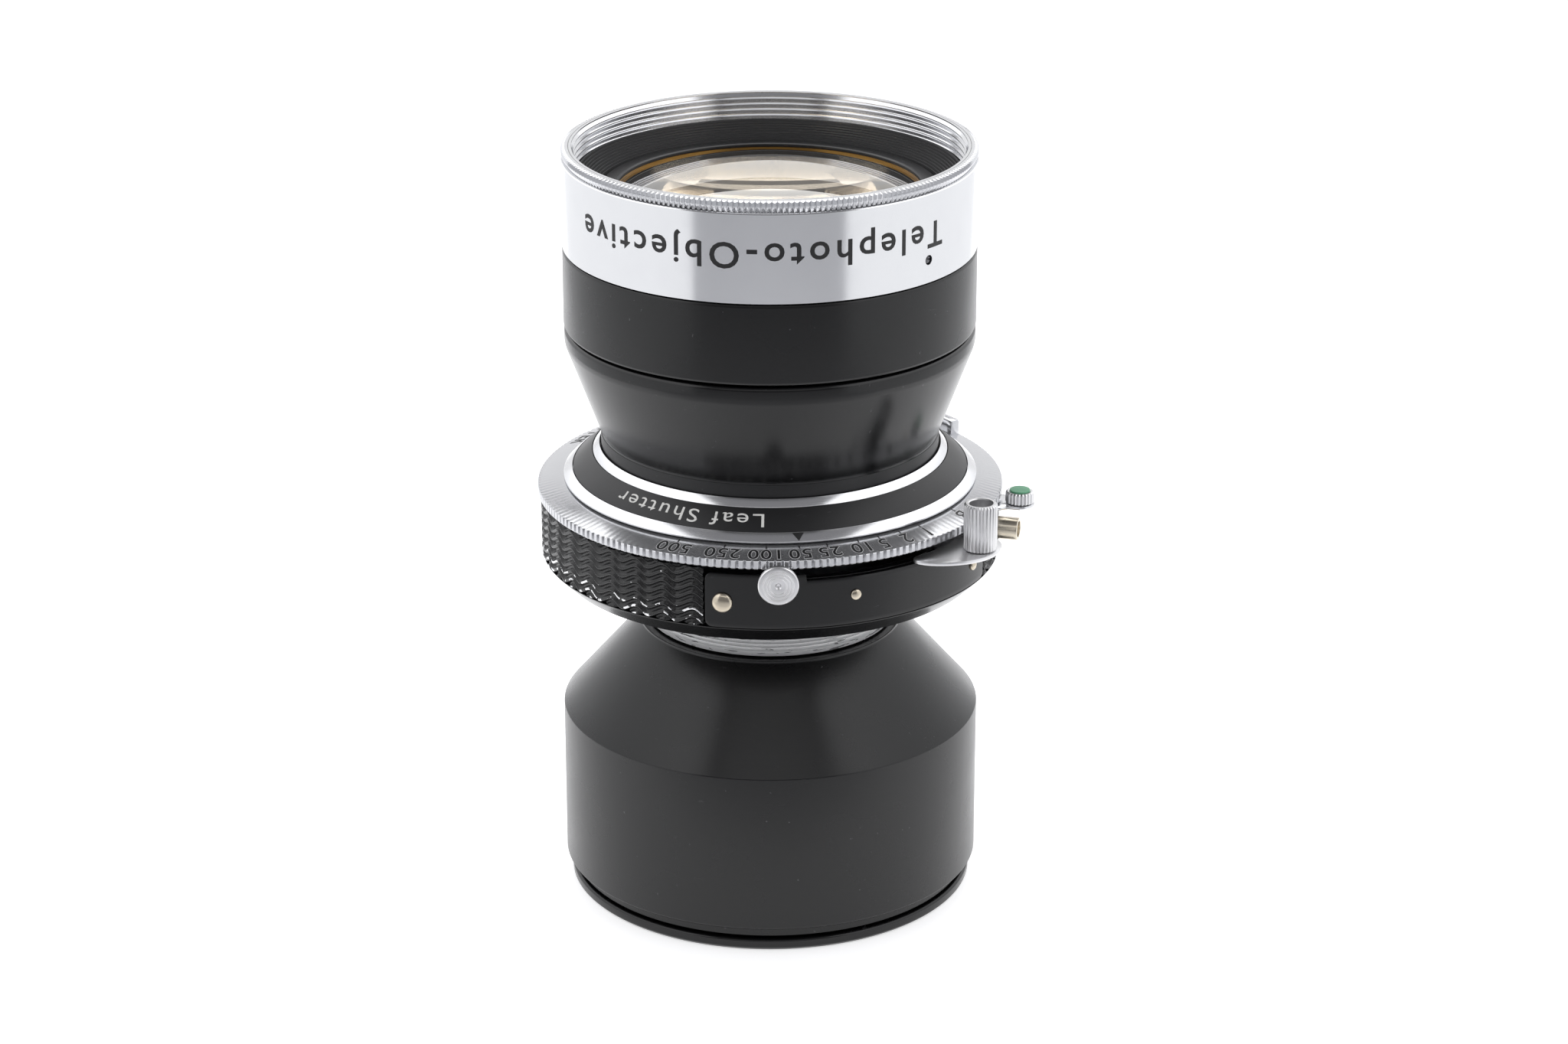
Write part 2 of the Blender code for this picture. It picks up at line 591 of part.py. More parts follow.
def iris():
    """Leaves that lie round the open bore, each flat in a layer of its own, and the ring that turns them."""
    leaf_half = LEAF_WIDTH / 2
    pivot_x, pivot_y = polar(leaf_pivot_radius, 0)
    inside = arc(leaf_pivot_radius - leaf_half, 0, LEAF_SPAN, 10)
    outline = inside + arc(leaf_pivot_radius + leaf_half, LEAF_SPAN, 0, 10)
    local = [(x - pivot_x, y - pivot_y) for x, y in outline]
    for i in range(LEAF_COUNT):
        name = f"iris_leaf_{i + 1}"
        angle = 360.0 * i / LEAF_COUNT
        x, y = polar(leaf_pivot_radius, angle)
        height = leaf_base + i * LEAF_PITCH + LEAF_THICKNESS / 2
        mesh = flat_mesh(name, [local], LEAF_THICKNESS)
        place(name, mesh, "steel", (x, y, height), (0, 0, math.radians(angle)))
    aperture_arm = drum_radius + REAR_ARM_REACH
    flat_piece("aperture_ring", "aluminium", [
        arm_outline(cavity_radius - RUNNING, APERTURE_ANGLE - 3, APERTURE_ANGLE + 3, aperture_arm,
                    APERTURE_ANGLE - 3, APERTURE_ANGLE + 3),
        ring_outline(ring_bore + RUNNING),
    ], flange_base, flange_top - TRIM_CLEAR)


def blades():
    """Shutter blades, shut over the bore, on pins under the mechanism plate."""
    reach = BORE_RADIUS + BLADE_OVERLAP
    tab = PIN_RADIUS + CLEAR + 0.8 * MM
    pivot_x, pivot_y = polar(pivot_radius, 0)
    tab_outline = [(x, y + pivot_y) for x, y in arc(tab, -100, 100, 25)]
    outline = arc(reach, -74, -20, 9) + tab_outline + [polar(1.2 * MM, 145)]
    local = [(x - pivot_x, y - pivot_y) for x, y in outline]
    hole = ring_outline(PIN_RADIUS + CLEAR, 10)
    plate = flat_piece("mechanism_plate", "steel", [
        ring_outline(cavity_radius - CLEAR), ring_outline(BORE_RADIUS + 0.2 * MM, INNER_STEPS),
    ], plate_base, plate_top)
    for i in range(BLADE_COUNT):
        name = f"shutter_blade_{i + 1}"
        angle = 360.0 * i / BLADE_COUNT
        x, y = polar(pivot_radius, angle)
        height = blade_base + i * BLADE_PITCH + BLADE_THICKNESS / 2
        mesh = flat_mesh(name, [local, hole], BLADE_THICKNESS)
        place(name, mesh, "steel", (x, y, height), (0, 0, math.radians(angle)))
        pin_low = blade_base - TRIM_CLEAR
        pin_high = plate_base + PLATE_THICKNESS / 2
        pin = rod(f"blade_pin_{i + 1}", "steel", PIN_RADIUS, pin_high - pin_low,
                  (x, y, (pin_low + pin_high) / 2),
                  segments=10, collection=cutters)
        combine(plate, pin, "UNION")
    drive_base = plate_top + CLEAR
    flat_piece("blade_ring", "steel", [ring_outline(ring_bore + 2.4 * MM), ring_outline(ring_bore)],
               drive_base, drive_base + 0.5 * MM)
    arc_piece("speed_escapement", "brass", ring_bore + 4.4 * MM, cavity_radius - CLEAR, 225, 300,
              drive_base,
              lever_base - CLEAR)


def drive_spring():
    """Three turns of round wire about the front tube."""
    wire, turns, points = 0.12 * MM, 3, 12
    spring_radius = ring_bore + 0.7 * MM
    low = plate_top + CLEAR + 0.5 * MM + CLEAR
    pitch = (lever_base - CLEAR - low - 2 * wire) / turns
    curve = bpy.data.curves.new("drive_spring", "CURVE")
    curve.dimensions = "3D"
    curve.bevel_depth = wire
    curve.bevel_resolution = 0
    curve.use_fill_caps = True
    spline = curve.splines.new("POLY")
    spline.points.add(turns * points - 1)
    for i, point in enumerate(spline.points):
        x, y = polar(spring_radius, 360.0 * i / points)
        point.co = (x, y, low + wire + pitch * i / points, 1)
    shape = bpy.data.objects.new("drive_spring", curve)
    curve.materials.append(finish_of("steel", "drive_spring"))
    parts.objects.link(shape)


def front_cell():
    funnel_bore = FRONT_RADIUS - FUNNEL_WALL
    neck_bore = neck_radius - FUNNEL_WALL
    turned("front_cone", "glossy_black", [
        (FRONT_RADIUS - 0.2 * MM, bead_top), (FRONT_RADIUS, bead_top - 0.3 * MM),
        (FRONT_RADIUS, funnel_top),
        (neck_radius, neck_top), (neck_radius, neck_base), (neck_bore, neck_base), (neck_bore, neck_top),
        (funnel_bore, funnel_top + 0.4 * MM), (funnel_bore, bead_top),
    ])
    cell_bore = glass_radius + CLEAR
    cement = glass_rim - CROWN_EDGE
    flint_low = cement - CLEAR - FLINT_EDGE
    ledge = cell_bore - 1.5 * MM
    turned("front_barrel", "black", [
        (cell_radius, baffle_base - CLEAR), (cell_radius, barrel_top), (FRONT_RADIUS, barrel_top),
        (FRONT_RADIUS, barrel_base), (ledge, barrel_base), (ledge, flint_low - CLEAR),
        (cell_bore, flint_low - CLEAR), (cell_bore, baffle_base - CLEAR),
    ])
    band = turned("filter_ring", "chrome", [
        (FRONT_RADIUS - KNURL_RADIUS_DROP, rim_top), (FRONT_RADIUS, band_top), (FRONT_RADIUS, band_base),
        (filter_bore, band_base), (filter_bore, rim_top),
    ])
    grub_height = band_base + 3.0 * MM
    hole = radial_rod("grub_hole", "matt_black", GRUB_RADIUS + TRIM_CLEAR, filter_bore - 1 * MM,
                      FRONT_RADIUS + 1 * MM,
                      GRUB_ANGLE, grub_height, 12, cutters)
    combine(band, hole, "DIFFERENCE")
    radial_rod("grub_screw", "steel", GRUB_RADIUS, filter_bore + 0.2 * MM, FRONT_RADIUS - 0.2 * MM,
               GRUB_ANGLE,
               grub_height, 12)
    turned("front_baffle", "matt_black", [
        (cell_radius, thread_end), (cell_radius, baffle_base), (baffle_bore, baffle_base),
        (baffle_bore, baffle_end), (cell_radius - 0.4 * MM, thread_end),
    ])
    crown = glass_rim + sphere_drop(glass_radius, FRONT_GLASS_CURVE)
    outer_seat = crown - sphere_drop(retainer_radius, FRONT_GLASS_CURVE) + CLEAR
    inner_seat = crown - sphere_drop(clear_radius, FRONT_GLASS_CURVE) + CLEAR
    ring_top = inner_seat + 0.5 * MM
    turned("front_retaining_ring", "matt_black", [
        (retainer_radius, ring_top), (retainer_radius, outer_seat),
        (clear_radius, inner_seat), (clear_radius, ring_top),
    ])
    lens_element("front_crown_glass", glass_radius, glass_rim, FRONT_GLASS_CURVE, cement,
                 -FRONT_CEMENT_CURVE)
    lens_element("front_flint_glass", glass_radius, cement - CLEAR, -FRONT_CEMENT_CURVE,
                 flint_low, 300 * MM)
    tube_top = neck_top + 9.4 * MM
    flange_radius = neck_bore - CLEAR
    inner_glass_radius = front_spigot_radius - 0.2 * MM
    tube_bore = inner_glass_radius + CLEAR
    tube_radius = tube_bore + TUBE_WALL
    glass_seat = neck_top + 2.4 * MM
    turned("inner_lens_tube", "matt_black", [
        (tube_radius, tube_top), (tube_radius, neck_top), (flange_radius, neck_top - 0.3 * MM),
        (flange_radius, neck_base + 0.6 * MM), (front_spigot_radius, neck_base + 0.6 * MM),
        (front_spigot_radius, plate_top + CLEAR), (front_spigot_bore, plate_top + CLEAR),
        (front_spigot_bore, glass_seat), (tube_bore, glass_seat), (tube_bore, tube_top),
    ], INNER_STEPS)
    glass_low = glass_seat + CLEAR
    glass_high = glass_low + INNER_GLASS_EDGE
    lens_element("inner_glass", inner_glass_radius, glass_high, 90 * MM, glass_low, 120 * MM)
    retainer_low = glass_high + CLEAR
    turned("inner_retaining_ring", "matt_black", [
        (inner_glass_radius, retainer_low + 1.4 * MM), (inner_glass_radius, retainer_low),
        (inner_glass_radius - 1.0 * MM, retainer_low + 0.2 * MM),
        (inner_glass_radius - 1.0 * MM, retainer_low + 1.4 * MM),
    ], INNER_STEPS)


rear_cell()
shutter_case()
top_rings()
levers()
sockets()
iris()
blades()
drive_spring()
front_cell()
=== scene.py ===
# %% [markdown]
# A telephoto lens in a leaf shutter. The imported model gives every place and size, and each visible
# piece is modelled again round it, with the threads, teeth, engraving and wear that a turned metal
# lens has. Loading the frame comes first, because all the radii and heights are read from it.

# %% Load the frame
import json
import math

import bmesh
import bpy
from mathutils import Matrix, Vector


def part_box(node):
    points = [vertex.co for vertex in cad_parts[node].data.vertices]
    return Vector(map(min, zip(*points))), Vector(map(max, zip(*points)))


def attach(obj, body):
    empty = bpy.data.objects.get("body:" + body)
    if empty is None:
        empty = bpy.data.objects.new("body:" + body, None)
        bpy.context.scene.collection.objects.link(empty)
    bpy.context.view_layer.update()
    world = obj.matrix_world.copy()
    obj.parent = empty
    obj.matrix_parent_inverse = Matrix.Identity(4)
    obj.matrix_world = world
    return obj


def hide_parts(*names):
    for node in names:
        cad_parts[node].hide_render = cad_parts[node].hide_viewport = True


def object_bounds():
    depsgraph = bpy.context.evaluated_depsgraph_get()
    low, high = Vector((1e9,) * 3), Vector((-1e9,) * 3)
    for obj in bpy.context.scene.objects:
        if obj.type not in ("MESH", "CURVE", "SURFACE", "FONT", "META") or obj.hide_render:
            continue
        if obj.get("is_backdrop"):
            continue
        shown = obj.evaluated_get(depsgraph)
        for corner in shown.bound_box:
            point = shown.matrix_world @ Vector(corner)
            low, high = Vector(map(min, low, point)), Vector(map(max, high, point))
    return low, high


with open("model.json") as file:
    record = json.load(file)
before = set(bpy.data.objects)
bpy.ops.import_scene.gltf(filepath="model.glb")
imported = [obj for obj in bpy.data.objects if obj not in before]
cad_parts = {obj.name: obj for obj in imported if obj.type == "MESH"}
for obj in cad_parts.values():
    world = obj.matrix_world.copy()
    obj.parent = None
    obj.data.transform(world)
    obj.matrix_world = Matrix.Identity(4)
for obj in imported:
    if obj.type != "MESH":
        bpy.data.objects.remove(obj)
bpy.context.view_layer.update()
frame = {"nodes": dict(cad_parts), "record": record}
MM = 0.001

# %% [markdown]
# Most pieces of a lens are turned, so a node's place is told by three numbers: how low and how high
# it reaches along the optical axis, and its radius.

# %% Read places from the frame


class Reach:
    """The heights and the outer radius of a turned CAD node."""

    def __init__(self, node):
        low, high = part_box(node)
        self.low, self.high, self.radius = low.z, high.z, high.x


def polar(radius, degrees, height=0.0):
    """A point at an angle about the optical axis, from the front (-Y) towards +X."""
    turn = math.radians(degrees)
    return Vector((radius * math.sin(turn), -radius * math.cos(turn), height))


def middle(node):
    low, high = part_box(node)
    return (low + high) / 2


def angle_of(spot):
    """The angle in degrees that polar takes to reach a point."""
    return math.degrees(math.atan2(spot.x, -spot.y))


drum = Reach("shutter_housing")
dial = Reach("speed_ring")
band = Reach("filter_ring")
rear = Reach("rear_housing")
print("drum", drum.low / MM, drum.high / MM, drum.radius / MM)

# %% [markdown]
# Shader maths reads best as plain sums. This small class wraps a socket, so that an expression on
# sockets adds the Math nodes by itself, and one method makes any other node.

# %% Shader helpers


class Value:
    """A number in a material, which can be added, multiplied and compared."""

    def __init__(self, tree, socket):
        self.tree, self.socket = tree, socket

    def math(self, operation, other, clamp=False):
        node = self.tree.nodes.new("ShaderNodeMath")
        node.operation = operation
        node.use_clamp = clamp
        self.tree.links.new(self.socket, node.inputs[0])
        if isinstance(other, Value):
            self.tree.links.new(other.socket, node.inputs[1])
        else:
            node.inputs[1].default_value = other
        return Value(self.tree, node.outputs[0])

    def __add__(self, other):
        return self.math("ADD", other)

    def __mul__(self, other):
        return self.math("MULTIPLY", other)

    def __sub__(self, other):
        return self.math("SUBTRACT", other)

    def __rsub__(self, other):
        return (self * -1.0) + other

    def __gt__(self, other):
        return self.math("GREATER_THAN", other)

    def __lt__(self, other):
        return self.math("LESS_THAN", other)

    __radd__ = __add__
    __rmul__ = __mul__

    def clamp(self):
        return self.math("ADD", 0.0, clamp=True)


class Finish:
    """A material with one Principled shader, and a method that adds any node to it."""

    def __init__(self, name, colour, roughness, metallic=0.0, **sockets):
        self.material = bpy.data.materials.new(name)
        self.material.use_nodes = True
        self.tree = self.material.node_tree
        self.shader = self.tree.nodes["Principled BSDF"]
        self.set("Base Color", (*colour, 1.0))
        self.set("Roughness", roughness)
        self.set("Metallic", metallic)
        for socket, value in sockets.items():
            self.set(socket.replace("_", " "), value)
        place = self.tree.nodes.new("ShaderNodeTexCoord")
        self.place = place.outputs["Object"]

    def set(self, socket, value):
        if isinstance(value, Value):
            value = value.socket
        if isinstance(value, bpy.types.NodeSocket):
            self.tree.links.new(value, self.shader.inputs[socket])
        else:
            self.shader.inputs[socket].default_value = value

    def node(self, kind, settings, inputs, output=0):
        made = self.tree.nodes.new(kind)
        for key, value in settings.items():
            setattr(made, key, value)
        for key, value in inputs.items():
            value = value.socket if isinstance(value, Value) else value
            if isinstance(value, bpy.types.NodeSocket):
                self.tree.links.new(value, made.inputs[key])
            else:
                made.inputs[key].default_value = value
        return Value(self.tree, made.outputs[output])

    def scaled(self, x, y, z):
        return self.node("ShaderNodeMapping", {}, {"Vector": self.place, "Scale": (x, y, z)})

    def noise(self, scale, detail, vector=None, distortion=0.0):
        return self.node("ShaderNodeTexNoise", {}, {
            "Vector": vector or self.place, "Scale": scale, "Detail": detail, "Distortion": distortion,
        })

    def radius(self):
        """How far a point lies from the optical axis."""
        flat = self.scaled(1, 1, 0)
        return self.node("ShaderNodeVectorMath", {"operation": "LENGTH"}, {0: flat}, output=1)

    def along(self, axis):
        """A point's place along an axis: 0 is X, 1 is Y and 2 is Z."""
        return self.node("ShaderNodeSeparateXYZ", {}, {0: self.place}, output=axis)

    def around(self):
        """Radius and height only, so a noise on it makes the fine rings that a lathe leaves."""
        return self.node("ShaderNodeCombineXYZ", {}, {0: self.radius(), 1: self.along(2)})

    def mix(self, mask, first, second):
        made = self.tree.nodes.new("ShaderNodeMix")
        made.data_type = "RGBA"
        self.tree.links.new(mask.socket, made.inputs[0])
        for index, colour in ((6, first), (7, second)):
            if isinstance(colour, Value):
                self.tree.links.new(colour.socket, made.inputs[index])
            else:
                made.inputs[index].default_value = (*colour, 1.0)
        return Value(self.tree, made.outputs[2])

    def bump(self, height, strength, distance):
        self.set("Normal", self.node("ShaderNodeBump", {}, {
            "Height": height, "Strength": strength, "Distance": distance,
        }))


# %% [markdown]
# Black finishes first. A turned barrel under satin enamel still shows faint rings, and dust and
# handling leave it patchy, so its roughness wanders and a few specks are lighter.

# %% Black finishes
DUST_GREY = (0.16, 0.16, 0.17)


def enamel(name, colour, roughness, ring_depth, speck=0.35):
    made = Finish(name, colour, roughness, Specular_IOR_Level=0.46)
    patches = made.noise(90.0, 4.0)
    made.set("Roughness", patches * 0.16 + (roughness - 0.08))
    rings = made.noise(9000.0, 2.0, made.around())
    dust = made.noise(1500.0, 2.0) > 0.76
    scratches = made.noise(260.0, 6.0, made.scaled(1, 1, 9), distortion=1.4) > 0.74
    wear = (dust * speck + scratches * speck * 0.5).clamp()
    made.set("Base Color", made.mix(wear, colour, DUST_GREY))
    made.bump(rings + patches * 0.3, ring_depth, 0.04 * MM)
    return made.material


satin_enamel = enamel("satin_black_enamel", (0.0045, 0.0045, 0.0048), 0.27, 0.1)
gloss_enamel = enamel("gloss_black_enamel", (0.003, 0.003, 0.0034), 0.2, 0.04)
matt_black = enamel("matt_black_anodising", (0.012, 0.012, 0.013), 0.42, 0.2, 0.15)
name_enamel = enamel("name_ring_enamel", (0.012, 0.012, 0.013), 0.38, 0.15, 0.2)
grooved_black = enamel("grooved_black_anodising", (0.055, 0.055, 0.056), 0.36, 0.05, 0.15)
print("black finishes made")

# %% [markdown]
# Bare metal next. Satin chrome is brushed round the lathe's axis, so the bump and the roughness
# follow rings, and fine random hairlines cross them where the lens has been handled.

# %% Metal finishes


def bare_metal(name, colour, roughness, ring_depth, tarnish, ring_scale=7000.0, stain=0.3, metallic=1.0):
    made = Finish(name, colour, roughness, metallic)
    rings = made.noise(ring_scale, 2.0, made.around())
    patches = made.noise(300.0, 5.0)
    hairlines = made.noise(900.0, 3.0, made.scaled(1.0, 0.7, 12.0), distortion=2.2) > 0.77
    made.set("Roughness", (rings - 0.5) * 0.12 + (patches - 0.5) * 0.1 + hairlines * 0.15 + roughness)
    mask = ((patches - 0.5) * 3.0 * stain + stain * 0.3).clamp()
    made.set("Base Color", made.mix(mask, colour, tarnish))
    made.bump(rings + hairlines * 0.2, ring_depth, 0.03 * MM)
    return made.material


def worn_aluminium():
    """Aluminium rubbed dull, so it scatters light; short dark dashes of old grease follow the turns."""
    made = Finish("worn_thread_aluminium", (0.8, 0.8, 0.8), 0.42, 0.4)
    dashes = made.noise(420.0, 3.0, made.scaled(1.0, 1.0, 7.0)) > 0.62
    patches = made.noise(900.0, 3.0)
    made.set("Base Color", made.mix((dashes * 0.8).clamp(), (0.82, 0.82, 0.82), (0.12, 0.12, 0.12)))
    made.set("Roughness", patches * 0.2 + 0.32)
    return made.material


satin_chrome = bare_metal("satin_chrome", (0.80, 0.805, 0.82), 0.16, 0.03, (0.7, 0.7, 0.73), stain=0.15)
dial_chrome = bare_metal("dial_chrome", (0.68, 0.685, 0.705), 0.2, 0.004, (0.57, 0.57, 0.6),
                         ring_scale=5000.0, stain=0.1, metallic=0.84)
engraved_edge = bare_metal("engraved_edge", (0.85, 0.85, 0.86), 0.5, 0.02, (0.7, 0.7, 0.7), metallic=0.35)
turned_aluminium = bare_metal("turned_aluminium", (0.83, 0.83, 0.84), 0.34, 0.4, (0.6, 0.59, 0.58),
                              ring_scale=4500.0, stain=0.4)
worn_thread = worn_aluminium()
nickel_brass = bare_metal("nickel_plated_brass", (0.70, 0.64, 0.53), 0.22, 0.1, (0.45, 0.38, 0.28),
                          ring_scale=6000.0, stain=0.6)
dark_steel = bare_metal("blackened_steel", (0.16, 0.16, 0.17), 0.38, 0.3, (0.08, 0.08, 0.09))
gilt_edge = bare_metal("gilt_glass_edge", (0.3, 0.17, 0.05), 0.3, 0.1, (0.2, 0.11, 0.03))
print("metal finishes made")

# %% [markdown]
# The covering of the drum is black, and where it has been knocked the ridges have lost their black
# and shine. Most chips lie on ridges low on one side, so their mask is a noise held to a height and
# a side, and a few stray ones are spread over all the ridges. The front glass turns amber near its
# rim, where its edge is seen through it.

# %% Covering, glass, paint and enamel finishes
COVERING_BLACK = (0.006, 0.006, 0.0065)


def covering():
    made = Finish("ribbed_black_covering", COVERING_BLACK, 0.3)
    grain = made.noise(3500.0, 3.0)
    across, away, height = (made.along(axis) for axis in range(3))
    ridge = made.radius() > (drum.radius - 0.07 * MM)
    low_edge = height < (drum.low + 4.6 * MM)
    side = (across < -8.0 * MM) * (away < 4.0 * MM)
    chips = (made.noise(900.0, 3.0) > 0.54) * ridge * low_edge * side
    strays = (made.noise(1300.0, 2.0) > 0.735) * ridge
    mask = (chips + strays * 0.8).clamp()
    made.set("Base Color", made.mix(mask, COVERING_BLACK, (0.86, 0.86, 0.87)))
    made.set("Metallic", mask)
    made.set("Roughness", grain * 0.16 + 0.18)
    made.bump(grain, 0.12, 0.02 * MM)
    return made.material


def coated_glass(name, tint, ior, coat=1.5, edge=None):
    made = Finish(name, tint, 0.0, Transmission_Weight=1.0, IOR=ior, Coat_Weight=1.0, Coat_IOR=coat,
                  Coat_Tint=(0.98, 0.95, 0.9, 1.0), Coat_Roughness=0.0)
    smears = made.noise(60.0, 3.0)
    made.set("Roughness", (smears > 0.6) * 0.01)
    if edge:
        made.set("Base Color", made.mix(made.radius() > edge, tint, (0.85, 0.55, 0.18)))
    return made.material


def plain_paint(name, colour, roughness, fleck):
    made = Finish(name, colour, roughness)
    uneven = made.noise(2200.0, 3.0)
    made.set("Base Color", made.mix((uneven > 0.66) * fleck, colour, tuple(c * 0.45 for c in colour)))
    made.bump(uneven, 0.2, 0.02 * MM)
    return made.material


ribbed_covering = covering()
front_glass_finish = coated_glass("coated_front_glass", (1.0, 0.985, 0.96), 1.62, 1.7, edge=18.7 * MM)
flint_finish = coated_glass("tinted_flint_glass", (0.72, 0.73, 0.75), 1.62, 1.4)
inner_glass_finish = coated_glass("coated_inner_glass", (0.97, 0.98, 1.0), 1.6)
black_fill = plain_paint("black_engraving_fill", (0.012, 0.012, 0.013), 0.5, 0.3)
white_fill = plain_paint("white_engraving_fill", (0.85, 0.84, 0.81), 0.55, 0.3)
green_enamel = plain_paint("green_enamel", (0.12, 0.40, 0.22), 0.35, 0.3)
print("covering, glass and paint made")

# %% [markdown]
# CAD nodes that stay in view only through glass or a slot keep their shape and get a real finish.

# %% Finishes for the CAD nodes
finish_of_slot = {
    "black": satin_enamel, "glossy_black": gloss_enamel, "matt_black": matt_black,
    "leatherette": ribbed_covering, "chrome": satin_chrome, "aluminium": turned_aluminium,
    "steel": dark_steel, "brass": nickel_brass, "glass": inner_glass_finish, "green": green_enamel,
}
for entry in frame["record"]["subparts"]:
    node = frame["nodes"][entry["node"]]
    node.data.materials.clear()
    node.data.materials.append(finish_of_slot[entry["material_slot"]])
print("CAD nodes finished", len(frame["nodes"]))

# %% [markdown]
# A turned piece starts as one point, which is extruded along the piece's outline and then spun
# about the optical axis. Sharp turned edges catch the light as a thin line, so each corner of an
# outline is first given a small round.

# %% Turning helpers


def fresh():
    """Leaves edit mode and deselects everything."""
    if bpy.context.object and bpy.context.object.mode != "OBJECT":
        bpy.ops.object.mode_set(mode="OBJECT")
    bpy.ops.object.select_all(action="DESELECT")


def rounded(outline, radius):
    """Swaps each corner for a short curve, no longer than a third of its edges."""
    corners = [Vector(point) for point in outline]
    made = []
    for i, corner in enumerate(corners):
        before, after = corners[i - 1] - corner, corners[(i + 1) % len(corners)] - corner
        start = corner + before.normalized() * min(radius, before.length * 0.34)
        end = corner + after.normalized() * min(radius, after.length * 0.34)
        for t in (0.0, 0.35, 0.65, 1.0):
            point = start * (1 - t) ** 2 + corner * 2 * t * (1 - t) + end * t * t
            made.append(tuple(point))
    return made


def settle(piece, name, finish, body, nodes=(), smooth=32):
    """Names a piece, smooths it, gives it its finish, puts it on the body it rides on, and hides the CAD
    nodes it stands for.
    """
    piece.name = piece.data.name = name
    bpy.context.view_layer.objects.active = piece
    piece.select_set(True)
    bpy.ops.object.shade_smooth_by_angle(angle=math.radians(smooth))
    piece.data.materials.clear()
    piece.data.materials.append(finish)
    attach(piece, body)
    if nodes:
        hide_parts(*nodes)
    fresh()
    return piece


def turn(outline, steps, closed=True):
    """Extrudes a point along an outline of (radius, height) and spins it about +Z."""
    fresh()
    bpy.ops.mesh.primitive_plane_add(size=0.001)
    piece = bpy.context.object
    bpy.ops.object.mode_set(mode="EDIT")
    bpy.ops.mesh.merge(type="CENTER")
    bpy.ops.transform.translate(value=(outline[0][0], 0, outline[0][1]))
    for here, there in zip(outline, outline[1:]):
        step = (there[0] - here[0], 0, there[1] - here[1])
        bpy.ops.mesh.extrude_vertices_move(TRANSFORM_OT_translate={"value": step})
    if closed:
        edit = bmesh.from_edit_mesh(piece.data)
        edit.verts.ensure_lookup_table()
        for vertex in edit.verts:
            vertex.select_set(len(vertex.link_edges) == 1)
        edit.select_flush_mode()
        bmesh.update_edit_mesh(piece.data)
        bpy.ops.mesh.edge_face_add()
    bpy.ops.mesh.select_all(action="SELECT")
    bpy.ops.mesh.spin(steps=steps, angle=2 * math.pi, center=(0, 0, 0), axis=(0, 0, 1))
    bpy.ops.mesh.select_all(action="SELECT")
    bpy.ops.mesh.remove_doubles(threshold=0.0000005)
    bpy.ops.mesh.normals_make_consistent(inside=False)
    bpy.ops.object.mode_set(mode="OBJECT")
    return piece


def tooth(piece, count, depth, shape, beyond):
    """Cuts teeth beyond a radius: shape gives the depth across one tooth, from 0 to 1."""
    for vertex in piece.data.vertices:
        radius = math.hypot(vertex.co.x, vertex.co.y)
        if radius > beyond:
            phase = (math.atan2(vertex.co.y, vertex.co.x) * count / (2 * math.pi) + 0.001) % 1.0
            closer = 1 - depth * shape(phase) / radius
            vertex.co.x *= closer
            vertex.co.y *= closer
    piece.data.update()


def vee(phase):
    return 1 - abs(2 * phase - 1)


def notch(phase):
    return 1.0 if phase > 0.7 else 0.0


def radial(piece, radius, degrees, height):
    """Lays a piece that was turned about +Z along the radius at an angle."""
    place = Matrix.Translation(polar(radius, degrees, height))
    lean = Matrix.Rotation(math.radians(degrees), 4, "Z") @ Matrix.Rotation(math.pi / 2, 4, "X")
    piece.data.transform(place @ lean)
    return piece


# %% [markdown]
# The rear cell is one black turned barrel: a cylinder, a cone that narrows to the mount, and a thin
# lip. It stands on a separate gloss rim, with a dark groove between the two.

# %% Rear cell
rim = Reach("rear_rim_ring")
tube = Reach("mount_tube")
ROUND_STEPS = 200
WALL, NECK_WALL, GROOVE = 2.5 * MM, 1.3 * MM, 1.2 * MM
LIP_RADIUS, SPIGOT = 16.9 * MM, 13.9 * MM
GROOVE_TOP, CYLINDER_TOP = 3.26 * MM, 24.16 * MM
rear_neck = tube.low - 0.3 * MM
cone_top = rear_neck - 0.3 * MM
barrel = turn(rounded([
    (SPIGOT, rear.high), (SPIGOT, rear_neck), (LIP_RADIUS, rear_neck), (LIP_RADIUS, cone_top),
    (rear.radius, CYLINDER_TOP), (rear.radius, GROOVE_TOP + 0.25 * MM),
    (rear.radius - 0.25 * MM, GROOVE_TOP), (rear.radius - GROOVE, GROOVE_TOP),
    (rear.radius - GROOVE, rear.low), (rear.radius - WALL, rear.low),
    (rear.radius - WALL, CYLINDER_TOP - 1 * MM), (SPIGOT - NECK_WALL, cone_top + 1.1 * MM),
    (SPIGOT - NECK_WALL, rear.high),
], 0.12 * MM), ROUND_STEPS)
settle(barrel, "rear_barrel", satin_enamel, "lens_body", ["rear_housing"])
FOOT_TOP, FOOT_BORE = 1.6 * MM, 21.0 * MM
foot = turn(rounded([
    (rim.radius - 2.0 * MM, rim.high), (rim.radius - 2.0 * MM, FOOT_TOP),
    (rim.radius - 0.3 * MM, FOOT_TOP), (rim.radius, 1.35 * MM), (rim.radius, 0.45 * MM),
    (rim.radius - 0.45 * MM, 0.0), (FOOT_BORE, 0.0), (FOOT_BORE, rim.high),
], 0.1 * MM), ROUND_STEPS)
settle(foot, "rear_foot_ring", gloss_enamel, "lens_body", ["rear_rim_ring"])
holder = Reach("rear_retaining_ring")
bezel = turn(rounded([
    (holder.radius, holder.high), (holder.radius, holder.low), (holder.radius - 1.4 * MM, holder.low),
    (holder.radius - 2.4 * MM, holder.low + 0.9 * MM), (holder.radius - 2.4 * MM, holder.high),
], 0.08 * MM), 128)
settle(bezel, "rear_glass_bezel", matt_black, "lens_body", ["rear_retaining_ring"])

